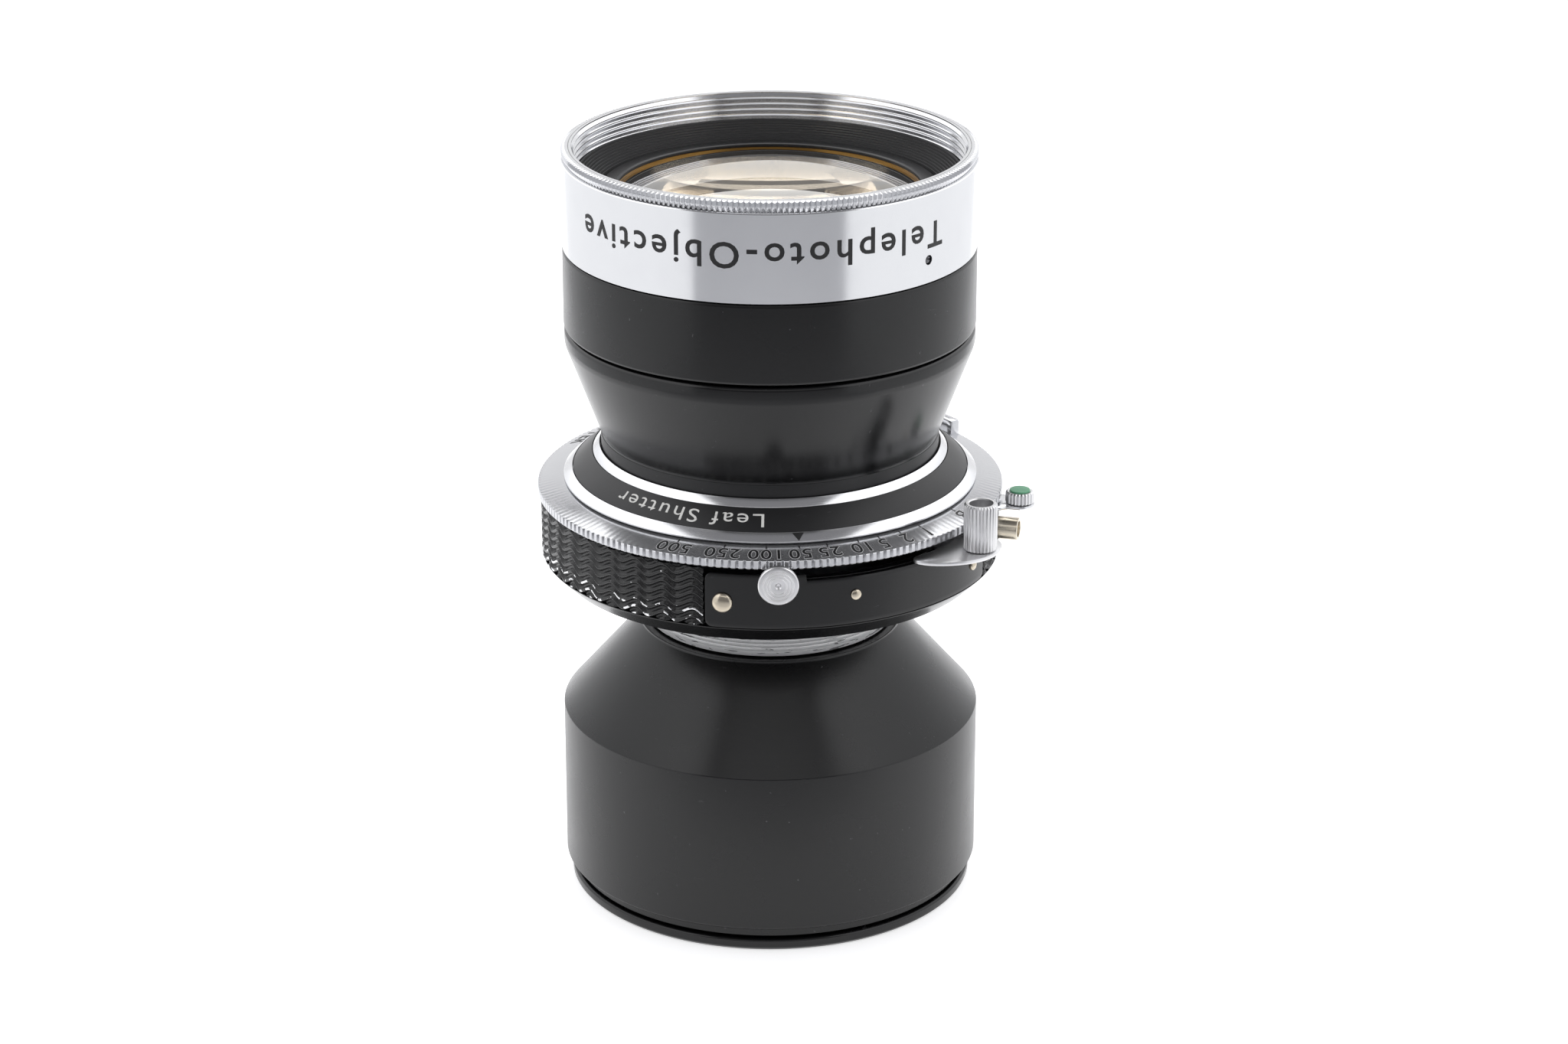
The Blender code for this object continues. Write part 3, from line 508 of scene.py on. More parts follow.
# %% [markdown]
# The mount thread is bright aluminium with 0.5 mm turns, worn by lens boards. Rings stand for the
# helix, which at this pitch nobody can tell apart, and the case above it is a shallow turned cup.

# %% Mount thread and shutter case
PITCH = 0.5 * MM
crest, root = tube.radius - 1.57 * MM, tube.radius - 1.82 * MM
FLANGE, FLANGE_THICK, MOUNT_BORE = 17.8 * MM, 0.6 * MM, 14.2 * MM
thread = []
for i in range(int((drum.low - tube.low) / PITCH)):
    top = drum.low - 0.1 * MM - i * PITCH
    thread += [(crest, top), (root, top - PITCH / 2)]
mount = turn([
    (FLANGE, tube.high), (FLANGE, tube.high - FLANGE_THICK), (16.2 * MM, tube.high - FLANGE_THICK),
    *thread, (15.9 * MM, tube.low), (MOUNT_BORE, tube.low), (MOUNT_BORE, tube.high),
], 128)
settle(mount, "mount_thread", worn_thread, "lens_body", ["mount_tube"], 50)
CHAMFER, CASE_FLOOR, CASE_HOLE, CASE_BORE = 2.35 * MM, 1.4 * MM, 16.55 * MM, 27.2 * MM
chamfer_top = drum.low + CHAMFER
wall_top = drum.high - 1.35 * MM
skin_seat = drum.radius - 1.0 * MM
case = turn(rounded([
    (skin_seat, wall_top), (skin_seat, chamfer_top - 0.05 * MM),
    (drum.radius - 0.1 * MM, chamfer_top - 0.05 * MM), (drum.radius - 0.1 * MM, chamfer_top - 0.15 * MM),
    (drum.radius - CHAMFER, drum.low), (CASE_HOLE, drum.low), (CASE_HOLE, drum.low + CASE_FLOOR),
    (CASE_BORE, drum.low + CASE_FLOOR), (CASE_BORE, wall_top),
], 0.12 * MM), ROUND_STEPS)
settle(case, "shutter_case", gloss_enamel, "lens_body", ["shutter_housing"])
print("rear half turned")

# %% [markdown]
# The drum's covering is pressed in wavy ridges, 1 mm apart and 4 mm from crest to crest. It is bent
# from a grid, whose points move out on a ridge and in between, and the slots for the levers are
# left open before it gets its thickness.

# %% Ribbed covering and smooth side plate
wrap = Reach("leatherette_wrap")
plate_box = Reach("side_plate")
RIDGE, WAVE, SWING, RELIEF = 1.05 * MM, 4.0 * MM, 0.44 * MM, 0.42 * MM
PLATE_START, PLATE_END, CORNER = -15.6, 66.2, 0.9 * MM
EDGE_DROP = 0.25 * MM


def grid(columns, rows):
    fresh()
    bpy.ops.mesh.primitive_grid_add(x_subdivisions=columns, y_subdivisions=rows, size=1.0)
    return bpy.context.object


def ridge_depth(along, height):
    """0 on top of a ridge and 1 between ridges; the ridges wave up and down along the drum."""
    wave = SWING * math.sin(2 * math.pi * along / WAVE) + 0.1 * SWING * math.sin(4 * math.pi * along / WAVE)
    phase = ((height + wave) / RIDGE) % 1.0
    return (0.5 - 0.5 * math.cos(2 * math.pi * phase)) ** 1.1


def bend_skin(piece, start, end, base_of, top_of, depth_of):
    """Bends a flat grid round the drum, from one angle to another."""
    for vertex in piece.data.vertices:
        degrees = start + (end - start) * (vertex.co.x + 0.5)
        base, top = base_of(degrees), top_of(degrees)
        height = base + (top - base) * (vertex.co.y + 0.5)
        along = math.radians(degrees) * drum.radius
        vertex.co = polar(drum.radius - depth_of(along, height), degrees, height)


def open_slot(piece, start, end, low):
    """Deletes the faces of a skin between two angles, above a height."""
    bpy.ops.object.mode_set(mode="EDIT")
    edit = bmesh.from_edit_mesh(piece.data)
    doomed = []
    for face in edit.faces:
        centre = face.calc_center_median()
        if start < angle_of(centre) % 360.0 < end and centre.z > low:
            doomed.append(face)
    bmesh.ops.delete(edit, geom=doomed, context="FACES")
    bmesh.update_edit_mesh(piece.data)
    bpy.ops.object.mode_set(mode="OBJECT")


def thicken(piece, thickness, bevel=0.0):
    bpy.ops.object.mode_set(mode="EDIT")
    bpy.ops.mesh.select_all(action="SELECT")
    bpy.ops.mesh.normals_make_consistent(inside=False)
    bpy.ops.object.mode_set(mode="OBJECT")
    outward = 0.0
    for face in piece.data.polygons:
        outward += face.normal.dot(Vector((face.center.x, face.center.y, 0)))
    if outward < 0:
        piece.data.flip_normals()
    skin = piece.modifiers.new("skin", "SOLIDIFY")
    skin.thickness = thickness
    skin.offset = -1
    bpy.ops.object.modifier_apply(modifier="skin")
    if bevel:
        edge = piece.modifiers.new("edge", "BEVEL")
        edge.width, edge.segments, edge.limit_method = bevel, 2, "ANGLE"
        bpy.ops.object.modifier_apply(modifier="edge")


def corner_drop(degrees):
    """How far the plate's edge draws in at its rounded ends."""
    gap = min(degrees - PLATE_START, PLATE_END - degrees)
    inside = CORNER - math.radians(gap) * drum.radius
    return CORNER - math.sqrt(max(CORNER ** 2 - max(inside, 0.0) ** 2, 0.0))


def plate_base(degrees):
    return plate_box.low - EDGE_DROP + corner_drop(degrees)


def plate_top(degrees):
    slot = 0.85 * MM if 8.8 < degrees < 60.0 else 0.0
    return plate_box.high - max(slot, corner_drop(degrees))


covered = grid(600, 58)
bend_skin(covered, 66.9, 343.9, lambda degrees: wrap.low - EDGE_DROP, lambda degrees: wrap.high,
          lambda along, height: RELIEF * ridge_depth(along, height))
open_slot(covered, 68.0, 95.0, wrap.high - 0.62 * MM)
open_slot(covered, 153.0, 172.0, wrap.high - 1.3 * MM)
thicken(covered, 0.2 * MM)
settle(covered, "ribbed_drum_covering", ribbed_covering, "lens_body", ["leatherette_wrap"],
       60)
plate = grid(420, 12)
bend_skin(plate, PLATE_START, PLATE_END, plate_base, plate_top, lambda along, height: 0.05 * MM)
thicken(plate, 0.5 * MM, 0.05 * MM)
settle(plate, "side_cover_plate", gloss_enamel, "lens_body", ["side_plate"], 40)

RIVETS = {"large_dome_rivet": "rivet_large", "small_dome_rivet": "rivet_front",
          "edge_dome_rivet": "rivet_right"}
for name, node in RIVETS.items():
    spot, reach = middle(node), Reach(node)
    size = (reach.high - reach.low) / 2
    dome = [(size * math.sin(t * math.pi / 12), size * 0.5 * math.cos(t * math.pi / 12)) for t in range(7)]
    rivet = turn(dome + [(size * 0.98, -0.25 * MM), (0.0, -0.25 * MM)], 40, closed=False)
    radial(rivet, drum.radius + 0.05 * MM, angle_of(spot), spot.z)
    settle(rivet, name, nickel_brass, "lens_body", [node])
print("drum covered")

# %% [markdown]
# Round the neck sit four rings: a bright bezel, the black name ring, a second bright bezel and the
# speed ring, whose face slopes a little outwards and whose rim is cut into flat teeth for fingers.

# %% Rings on the shutter's face
inner = Reach("inner_bezel")
outer = Reach("outer_bezel")
names = Reach("name_ring")
NAME_BORE, NAME_WALL, NAME_STEP = 22.75 * MM, 1.45 * MM, 0.9 * MM
BEZEL_DROP = 0.87 * MM
inner_trim = turn(rounded([
    (inner.radius - 0.85 * MM, inner.high), (inner.radius, inner.high - BEZEL_DROP),
    (inner.radius, inner.low), (inner.radius - 0.85 * MM, inner.low),
], 0.05 * MM), 160)
settle(inner_trim, "inner_bright_bezel", satin_chrome, "lens_body", ["inner_bezel"])
name_low, name_high = outer.high, names.high
name_cone = turn(rounded([
    (NAME_BORE, name_high), (names.radius, name_low), (names.radius, name_low - 0.5 * MM),
    (NAME_BORE + 0.05 * MM, name_low - 0.5 * MM), (NAME_BORE + 0.05 * MM, names.low),
    (NAME_BORE - NAME_WALL, names.low), (NAME_BORE - NAME_WALL, name_high - NAME_STEP),
    (NAME_BORE, name_high - NAME_STEP),
], 0.04 * MM), 160)
settle(name_cone, "black_name_ring", name_enamel, "lens_body", ["name_ring"])
bezel_top = (names.radius + 0.1 * MM, outer.high)
bezel_edge = (outer.radius, outer.high - BEZEL_DROP)
outer_trim = turn(rounded([
    bezel_top, bezel_edge, (outer.radius, outer.low), (NAME_BORE + 0.2 * MM, outer.low),
    (NAME_BORE + 0.2 * MM, outer.low + 0.35 * MM), (names.radius + 0.1 * MM, outer.low + 0.35 * MM),
], 0.05 * MM), 160)
settle(outer_trim, "outer_bright_bezel", satin_chrome, "lens_body", ["outer_bezel"])

TEETH, DIAL_BORE = 200, 23.3 * MM
dial_face = outer.low - 0.25 * MM
dial_edge = dial_face - 0.75 * MM
FACE = ((outer.radius, dial_face), (dial.radius - 0.35 * MM, dial_edge + 0.04 * MM))
speed = turn([
    (outer.radius - 0.2 * MM, dial_face), *FACE,
    (dial.radius - 0.05 * MM, dial_edge - 0.02 * MM), (dial.radius, dial_edge - 0.1 * MM),
    (dial.radius, dial.low + 0.12 * MM), (dial.radius - 0.1 * MM, dial.low),
    (dial.radius - 0.8 * MM, dial.low), (DIAL_BORE, dial.low), (DIAL_BORE, dial_face),
], TEETH * 4)
tooth(speed, TEETH, 0.22 * MM, notch, dial.radius - 0.2 * MM)
settle(speed, "serrated_speed_ring", dial_chrome, "speed_dial", ["speed_ring"], 30)


def plate_from(outline, low, high, bevel):
    """A flat piece: a disc is pulled to the outline, extruded up and its edges bevelled."""
    fresh()
    bpy.ops.mesh.primitive_circle_add(vertices=len(outline), fill_type="NGON")
    piece = bpy.context.object
    for vertex, point in zip(piece.data.vertices, outline):
        vertex.co = (point[0], point[1], low)
    bpy.ops.object.mode_set(mode="EDIT")
    bpy.ops.mesh.select_all(action="SELECT")
    bpy.ops.mesh.extrude_region_move(TRANSFORM_OT_translate={"value": (0, 0, high - low)})
    bpy.ops.mesh.select_all(action="SELECT")
    bpy.ops.mesh.normals_make_consistent(inside=False)
    bpy.ops.object.mode_set(mode="OBJECT")
    edge = piece.modifiers.new("edge", "BEVEL")
    edge.width, edge.segments, edge.limit_method = bevel, 2, "ANGLE"
    edge.angle_limit = math.radians(50)
    bpy.ops.object.modifier_apply(modifier="edge")
    return piece


def arc(radius, start, end, steps):
    return [polar(radius, start + (end - start) * i / steps) for i in range(steps + 1)]


TAB_START, TAB_END, TAB_STEPS = 122.5, 142, 10
tab = plate_from(arc(dial.radius - 0.12 * MM, TAB_START, TAB_END, TAB_STEPS)
                 + arc(dial.radius - 1.6 * MM, TAB_END, TAB_START, TAB_STEPS),
                 dial.low + 0.4 * MM, dial.high, 0.42 * MM)
settle(tab, "speed_ring_finger_tab", dial_chrome, "speed_dial", ())
print("rings turned, teeth", TEETH)

# %% [markdown]
# Engraved lettering lies in the metal and is filled with paint. Text is made flat, turned into a
# mesh, and each of its points is carried onto the ring: across becomes an angle, and up becomes a
# distance along the ring's slope. A bolder copy in bright metal just under each dial number stands
# for the cut edge round the paint. The words are plain ones.

# %% Lettering
INK = 0.012 * MM


def carry(piece, onto):
    for vertex in piece.data.vertices:
        vertex.co = onto(vertex.co.x, vertex.co.y, vertex.co.z)
    return piece


def words(body, height, spacing, bold, stretch=1.0):
    """Text as a thin mesh, cut fine enough to follow a curve."""
    fresh()
    bpy.ops.object.text_add()
    piece = bpy.context.object
    piece.data.body = body
    piece.data.size = height / 0.72
    piece.data.space_character = spacing
    piece.data.align_x = "CENTER"
    piece.data.align_y = "CENTER"
    piece.data.extrude = INK
    piece.data.offset = bold
    piece.data.resolution_u = 4
    bpy.ops.object.convert(target="MESH")
    piece = bpy.context.object
    bpy.ops.object.mode_set(mode="EDIT")
    bpy.ops.mesh.select_all(action="SELECT")
    bpy.ops.mesh.quads_convert_to_tris()
    bpy.ops.mesh.subdivide(number_cuts=1)
    bpy.ops.transform.resize(value=(stretch, 1, 1), center_override=(0, 0, 0))
    bpy.ops.object.mode_set(mode="OBJECT")
    return piece


def on_slope(centre, top, base, outward=True, lift=INK, shift=0.0):
    """Carries flat points onto a cone. Letters stand towards the axis, or away from it if outward."""
    top, base = Vector(top), Vector(base)
    run = (base - top).normalized()
    normal = Vector((-run.y, run.x))
    place = (top + base) / 2
    sign = 1.0 if outward else -1.0

    def onto(x, y, z):
        spot = place + run * (y + shift) * sign + normal * (z + lift)
        return polar(spot.x, centre - sign * math.degrees(x / place.x), spot.y)

    return onto


band_place = on_slope(-3.0, (band.radius, 94.3 * MM), (band.radius, 90.3 * MM))
band_words = carry(words("Telephoto-Objective", 3.3 * MM, 1.26, 0.06 * MM, 1.04), band_place)
settle(band_words, "band_lettering", black_fill, "lens_body")
name_place = on_slope(-26.0, (NAME_BORE, name_high), (names.radius, name_low))
name_words = carry(words("Leaf Shutter", 1.9 * MM, 1.2, 0.0, 1.32), name_place)
settle(name_words, "name_ring_lettering", white_fill, "lens_body")

SPEEDS = {"500": -24.4, "250": -11.7, "100": -0.8, "50": 7.8, "25": 15.2, "10": 23.8, "5": 29.9,
          "2": 36.6, "1": 43.6, "B": 58.7}
DIGIT, DIGIT_SHIFT = 2.0 * MM, 0.25 * MM
TICK = [(-0.08 * MM, -1.4 * MM), (0.08 * MM, -1.4 * MM), (0.08 * MM, -0.75 * MM), (-0.08 * MM, -0.75 * MM)]
digits, ticks, edges = [], [], []
for label, degrees in SPEEDS.items():
    on_face = on_slope(degrees, *FACE, shift=DIGIT_SHIFT)
    digits.append(carry(words(label, DIGIT, 1.1, 0.03 * MM), on_face))
    below = on_slope(degrees, *FACE, lift=INK - 0.009 * MM, shift=DIGIT_SHIFT)
    edges.append(carry(words(label, DIGIT, 1.1, 0.09 * MM), below))
    ticks.append(carry(plate_from(TICK, 0.0, INK, 0.001 * MM), on_slope(degrees, *FACE)))


def joined(pieces):
    fresh()
    for piece in pieces:
        piece.select_set(True)
    bpy.context.view_layer.objects.active = pieces[0]
    bpy.ops.object.join()
    return pieces[0]


settle(joined(digits), "speed_numbers", black_fill, "speed_dial")
settle(joined(edges), "speed_number_edges", engraved_edge, "speed_dial")
settle(joined(ticks), "speed_ticks", black_fill, "speed_dial")
label_words = carry(words("SHUTTER", DIGIT, 1.2, 0.04 * MM), on_slope(-128.0, *FACE, outward=False))
settle(label_words, "speed_ring_label", black_fill, "speed_dial")
TRIANGLE = [(-0.75 * MM, -0.55 * MM), (0.75 * MM, -0.55 * MM), (0.0, 0.62 * MM)]
index = carry(plate_from(TRIANGLE, 0.0, INK, 0.001 * MM), on_slope(7.9, bezel_top, bezel_edge))
settle(index, "speed_index", black_fill, "lens_body")
print("lettering done")

# %% [markdown]
# Levers and knobs are bare metal. The cocking lever is a flat crescent with a tall hollow knob,
# fluted for grip, and the sync lever is a short arm with a low knob and a green disc. A lever's
# outline is a smooth closed curve through a few points, so it takes few numbers to draw.

# %% Levers and knobs


def smooth_loop(points):
    """A closed smooth curve through the points."""
    count, made = len(points), []
    for i in range(count):
        a, b, c, d = (points[(i + k) % count] for k in (-1, 0, 1, 2))
        for t in (0.0, 0.25, 0.5, 0.75):
            made.append(0.5 * ((2 * b) + (c - a) * t + (2 * a - 5 * b + 4 * c - d) * t * t
                               + (3 * b - a - 3 * c + d) * t ** 3))
    return made


def lever_plate(outline, node, bevel):
    """A flat lever as thick as its CAD node, from points given by radius in mm and by angle."""
    reach = Reach(node)
    points = smooth_loop([polar(radius * MM, degrees) for radius, degrees in outline])
    return plate_from(points, reach.low, reach.high, bevel)


crescent = lever_plate([
    (24.0, 57), (28.4, 57.5), (30.2, 59.0), (32.6, 59.4), (34.3, 57.2), (35.1, 54), (35.3, 51),
    (35.1, 48), (34.4, 44.8), (33.2, 41.4), (31.7, 38.4), (30.2, 36.7), (29.3, 37.2), (28.9, 40),
    (28.6, 46.5), (24.0, 47.5),
], "cocking_lever", 0.1 * MM)
settle(crescent, "cocking_lever_plate", turned_aluminium, "cocking", ["cocking_lever"], 40)


def flute(phase):
    return (0.5 - 0.5 * math.cos(2 * math.pi * phase)) ** 2


def knob(node, name, flutes, depth, body, bore=0.0):
    """A fluted knob on the CAD node's place. With a bore its top is hollow, or else it is dished."""
    low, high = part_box(node)
    spot, radius, tall = middle(node), (high.x - low.x) / 2, high.z - low.z
    if bore:
        outline = [(bore, tall - 0.12 * MM), (bore + 0.12 * MM, tall), (radius - 0.25 * MM, tall),
                   (radius, tall - 0.25 * MM), (radius, 0.15 * MM), (radius - 0.15 * MM, 0.0), (0.0, 0.0),
                   (0.0, tall - 3.4 * MM), (bore * 0.9, tall - 3.4 * MM), (bore, tall - 3.0 * MM)]
    else:
        outline = [(0.0, tall - 0.05 * MM), (radius * 0.76, tall - 0.05 * MM), (radius * 0.8, tall),
                   (radius - 0.18 * MM, tall), (radius, tall - 0.18 * MM), (radius, 0.12 * MM),
                   (radius - 0.12 * MM, 0.0), (0.0, 0.0)]
    made = turn(outline, flutes * 6, closed=bool(bore))
    tooth(made, flutes, depth, flute, radius * 0.9)
    made.data.transform(Matrix.Translation((spot.x, spot.y, low.z)))
    return settle(made, name, turned_aluminium, body, [node], 35)


knob("cocking_knob", "fluted_cocking_knob", 28, 0.17 * MM, "cocking", bore=1.45 * MM)
knob("sync_knob", "fluted_sync_knob", 22, 0.16 * MM, "sync")
low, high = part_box("sync_cap")
disc_spot, disc_radius = middle("sync_cap"), (high.x - low.x) / 2
disc = turn([(0.0, 0.25 * MM), (disc_radius * 0.6, 0.23 * MM), (disc_radius * 0.95, 0.14 * MM),
             (disc_radius, 0.05 * MM), (disc_radius, -0.06 * MM), (0.0, -0.06 * MM)], 48, closed=False)
disc.data.transform(Matrix.Translation((disc_spot.x, disc_spot.y, low.z)))
settle(disc, "green_sync_disc", green_enamel, "sync", ["sync_cap"])
sync_arm = lever_plate([
    (24.8, 87), (29.5, 85.2), (31.0, 83.6), (32.8, 83.2), (33.8, 81.8), (34.1, 80), (33.8, 78.2),
    (32.8, 76.8), (31.0, 76.6), (29.5, 75.0), (24.8, 73),
], "sync_lever", 0.08 * MM)
settle(sync_arm, "sync_lever_arm", satin_chrome, "sync", ["sync_lever"], 40)
trigger = lever_plate([
    (24.0, 160), (29.0, 161.5), (32.0, 162), (33.1, 163.2), (33.2, 165), (33.1, 166.8), (32.0, 168),
    (29.0, 168.5), (24.0, 170),
], "release_lever", 0.1 * MM)
settle(trigger, "release_lever_plate", turned_aluminium, "release", ["release_lever"], 40)
aperture_arm = lever_plate([
    (26.0, 208.5), (30.0, 208.8), (32.0, 209.3), (32.85, 210.6), (32.9, 212), (32.85, 213.4),
    (32.0, 214.7), (30.0, 215.2), (26.0, 215.5),
], "aperture_ring", 0.08 * MM)
settle(aperture_arm, "aperture_lever_arm", turned_aluminium, "aperture", (), 40)

# %% [markdown]
# The focus button is a turned disc on a stem, with the rings and the centre mark of its lathe. The
# flash contact is a nickel-plated tube with an insulator and a pin inside.

# %% Focus button and sockets
low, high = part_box("focus_button")
button_radius, button_face = (high.z - low.z) / 2, -low.y
STEM, STEM_END, DISC_BACK = 0.8 * MM, -4.6 * MM, -0.9 * MM
profile = [(0.0, -0.28 * MM), (0.22 * MM, -0.22 * MM), (0.42 * MM, -0.02 * MM), (0.62 * MM, 0.0)]
for ring in (0.95 * MM, 1.35 * MM, 1.75 * MM):
    profile += [(ring, 0.0), (ring + 0.1 * MM, -0.07 * MM), (ring + 0.2 * MM, 0.0)]
profile += [(button_radius - 0.3 * MM, 0.0), (button_radius - 0.12 * MM, -0.05 * MM),
            (button_radius, -0.22 * MM), (button_radius, -0.62 * MM),
            (button_radius - 0.15 * MM, DISC_BACK), (STEM, DISC_BACK), (STEM, STEM_END), (0.0, STEM_END)]
button = turn(profile, 72, closed=False)
radial(button, button_face + 0.02 * MM, 2.0, middle("focus_button").z)
settle(button, "focus_button_disc", turned_aluminium, "button", ["focus_button"], 28)

low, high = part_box("flash_sleeve")
contact_height, contact = middle("flash_sleeve").z, (high.z - low.z) / 2
CONTACT_AT, CONTACT_ANGLE, LENGTH = 27.0 * MM, 75.0, 5.62 * MM
sleeve = turn(rounded([
    (contact, LENGTH), (contact, LENGTH - 0.5 * MM), (contact, 0.0), (contact * 0.7, 0.0),
    (contact * 0.7, LENGTH),
], 0.1 * MM), 56)
plug = turn(rounded([
    (contact * 0.66, LENGTH - 0.45 * MM), (contact * 0.66, 0.0), (contact * 0.32, 0.0),
    (contact * 0.32, LENGTH - 0.45 * MM),
], 0.06 * MM), 40)
pin = turn([
    (0.0, LENGTH - 0.55 * MM), (contact * 0.15, LENGTH - 0.57 * MM), (contact * 0.27, LENGTH - 0.7 * MM),
    (contact * 0.27, 0.0), (0.0, 0.0),
], 32, closed=False)
for piece in (sleeve, plug, pin):
    radial(piece, CONTACT_AT, CONTACT_ANGLE, contact_height)
settle(sleeve, "flash_contact_sleeve", nickel_brass, "lens_body", ["flash_sleeve"])
settle(plug, "flash_contact_insulator", matt_black, "lens_body", ["flash_insulator"])
settle(pin, "flash_contact_pin", nickel_brass, "lens_body", ["flash_pin"])
CABLE, CABLE_WAIST, CABLE_BORE, CABLE_LENGTH = 2.0 * MM, 1.85 * MM, 1.2 * MM, 5.45 * MM
cable = turn(rounded([
    (CABLE, CABLE_LENGTH), (CABLE, 4.4 * MM), (CABLE_WAIST, 4.2 * MM), (CABLE_WAIST, 3.2 * MM),
    (CABLE, 3.0 * MM), (CABLE, 0.0), (CABLE_BORE, 0.0), (CABLE_BORE, CABLE_LENGTH),
], 0.08 * MM), 48)
radial(cable, 26.95 * MM, 190.0, contact_height)
settle(cable, "cable_release_collar", turned_aluminium, "lens_body", ["cable_socket"])
print("levers, knobs and sockets done")

# %% [markdown]
# The front cell: a matt neck, a gloss funnel with a bead, a black cylinder and the chrome filter
# ring. Inside the ring are five turns of filter thread, then a black baffle cut in steps, which
# keeps stray light off the glass, and the ring that holds the glass.

# %% Front cell
cone = Reach("front_cone")
black = Reach("front_barrel")
neck, neck_top = 21.5 * MM, cone.low + 2.5 * MM
funnel_top = cone.high - 2.2 * MM
funnel = turn(rounded([
    (cone.radius - 0.35 * MM, cone.high), (cone.radius, cone.high - 0.35 * MM),
    (cone.radius, funnel_top + 0.6 * MM), (cone.radius - 0.12 * MM, funnel_top),
    (neck + 0.05 * MM, neck_top + 0.35 * MM), (neck, neck_top), (neck, cone.low),
    (neck - NECK_WALL, cone.low), (neck - NECK_WALL, neck_top),
    (cone.radius - NECK_WALL, funnel_top + 0.4 * MM), (cone.radius - NECK_WALL, cone.high),
], 0.2 * MM), ROUND_STEPS)
settle(funnel, "front_funnel", gloss_enamel, "lens_body", ["front_cone"])
collar_top, collar_low = neck_top - 0.02 * MM, cone.low + 0.1 * MM
collar = turn(rounded([
    (neck + 0.06 * MM, collar_top), (neck + 0.06 * MM, collar_low), (neck - 0.2 * MM, collar_low),
    (neck - 0.2 * MM, collar_top),
], 0.03 * MM), 160)
settle(collar, "matt_neck_collar", matt_black, "lens_body", ())
body_low, body_top, body_radius = black.low, band.low - 0.1 * MM, band.radius + 0.04 * MM
SPIGOT_RADIUS, CELL_BORE, GLASS_BORE, SHELF = 24.1 * MM, 20.8 * MM, 22.3 * MM, 83.0 * MM
cylinder = turn(rounded([
    (SPIGOT_RADIUS, black.high), (SPIGOT_RADIUS, body_top), (band.radius - 0.05 * MM, body_top),
    (body_radius, body_top - 0.3 * MM), (body_radius, body_low + 0.3 * MM),
    (band.radius - 0.1 * MM, body_low), (CELL_BORE, body_low), (CELL_BORE, SHELF),
    (GLASS_BORE, SHELF), (GLASS_BORE, black.high),
], 0.08 * MM), ROUND_STEPS)
settle(cylinder, "front_black_cylinder", satin_enamel, "lens_body", ["front_barrel"])

bore, band_top = band.radius - 1.6 * MM, band.high - 1.5 * MM
FILTER_TURNS, FILTER_PITCH, BREAK = 5, 0.75 * MM, 0.12 * MM
filter_thread = []
for i in range(FILTER_TURNS):
    base = band.high - 3.95 * MM + i * FILTER_PITCH
    filter_thread += [(bore + 0.42 * MM, base), (bore + 0.02 * MM, base + FILTER_PITCH * 0.42),
                      (bore + 0.02 * MM, base + FILTER_PITCH * 0.58)]
chrome_band = turn([
    (bore + 0.65 * MM, band.high), (bore + 0.65 * MM, band_top), (band.radius - BREAK, band_top),
    (band.radius, band_top - BREAK), (band.radius, band.low + BREAK), (band.radius - BREAK, band.low),
    (bore, band.low), (bore, band.high - 4.2 * MM), *filter_thread,
    (bore + 0.3 * MM, band.high - 0.15 * MM), (bore + 0.3 * MM, band.high),
], ROUND_STEPS)
fresh()
grub_spot = middle("grub_screw")
grub_degrees = angle_of(grub_spot)
bpy.ops.mesh.primitive_cylinder_add(vertices=32, radius=0.62 * MM, depth=2.4 * MM)
drill = radial(bpy.context.object, band.radius, grub_degrees, grub_spot.z)
fresh()
bpy.context.view_layer.objects.active = chrome_band
cut = chrome_band.modifiers.new("grub_hole", "BOOLEAN")
cut.object, cut.operation, cut.solver = drill, "DIFFERENCE", "EXACT"
bpy.ops.object.modifier_apply(modifier="grub_hole")
bpy.data.objects.remove(drill)
settle(chrome_band, "chrome_filter_band", satin_chrome, "lens_body", ["filter_ring"], 28)
GRUB, GRUB_END, SLOT_HALF, SLOT_DEPTH = 0.5 * MM, -1.1 * MM, 0.09 * MM, 0.25 * MM
grub = turn([
    (0.0, -0.18 * MM), (0.42 * MM, -0.18 * MM), (GRUB, -0.28 * MM), (GRUB, GRUB_END), (0.0, GRUB_END),
], 24, closed=False)
for vertex in grub.data.vertices:
    if abs(vertex.co.y) < SLOT_HALF and vertex.co.z > -0.3 * MM:
        vertex.co.z -= SLOT_DEPTH
radial(grub, band.radius, grub_degrees, grub_spot.z)
settle(grub, "slotted_grub_screw", dark_steel, "lens_body", ["grub_screw"])

KNURLS = 240
knurl_radius, knurl_low = band.radius - 0.02 * MM, band_top + 0.03 * MM
knurl = turn([
    (bore + 0.7 * MM, band.high), (band.radius - 0.5 * MM, band.high),
    (knurl_radius, band.high - 0.14 * MM), (knurl_radius, band_top + 0.75 * MM),
    (band.radius - 0.5 * MM, knurl_low), (bore + 0.7 * MM, knurl_low),
], KNURLS * 4)
tooth(knurl, KNURLS, 0.5 * MM, vee, band.radius - 0.2 * MM)
settle(knurl, "knurled_front_rim", satin_chrome, "lens_body", (), 20)

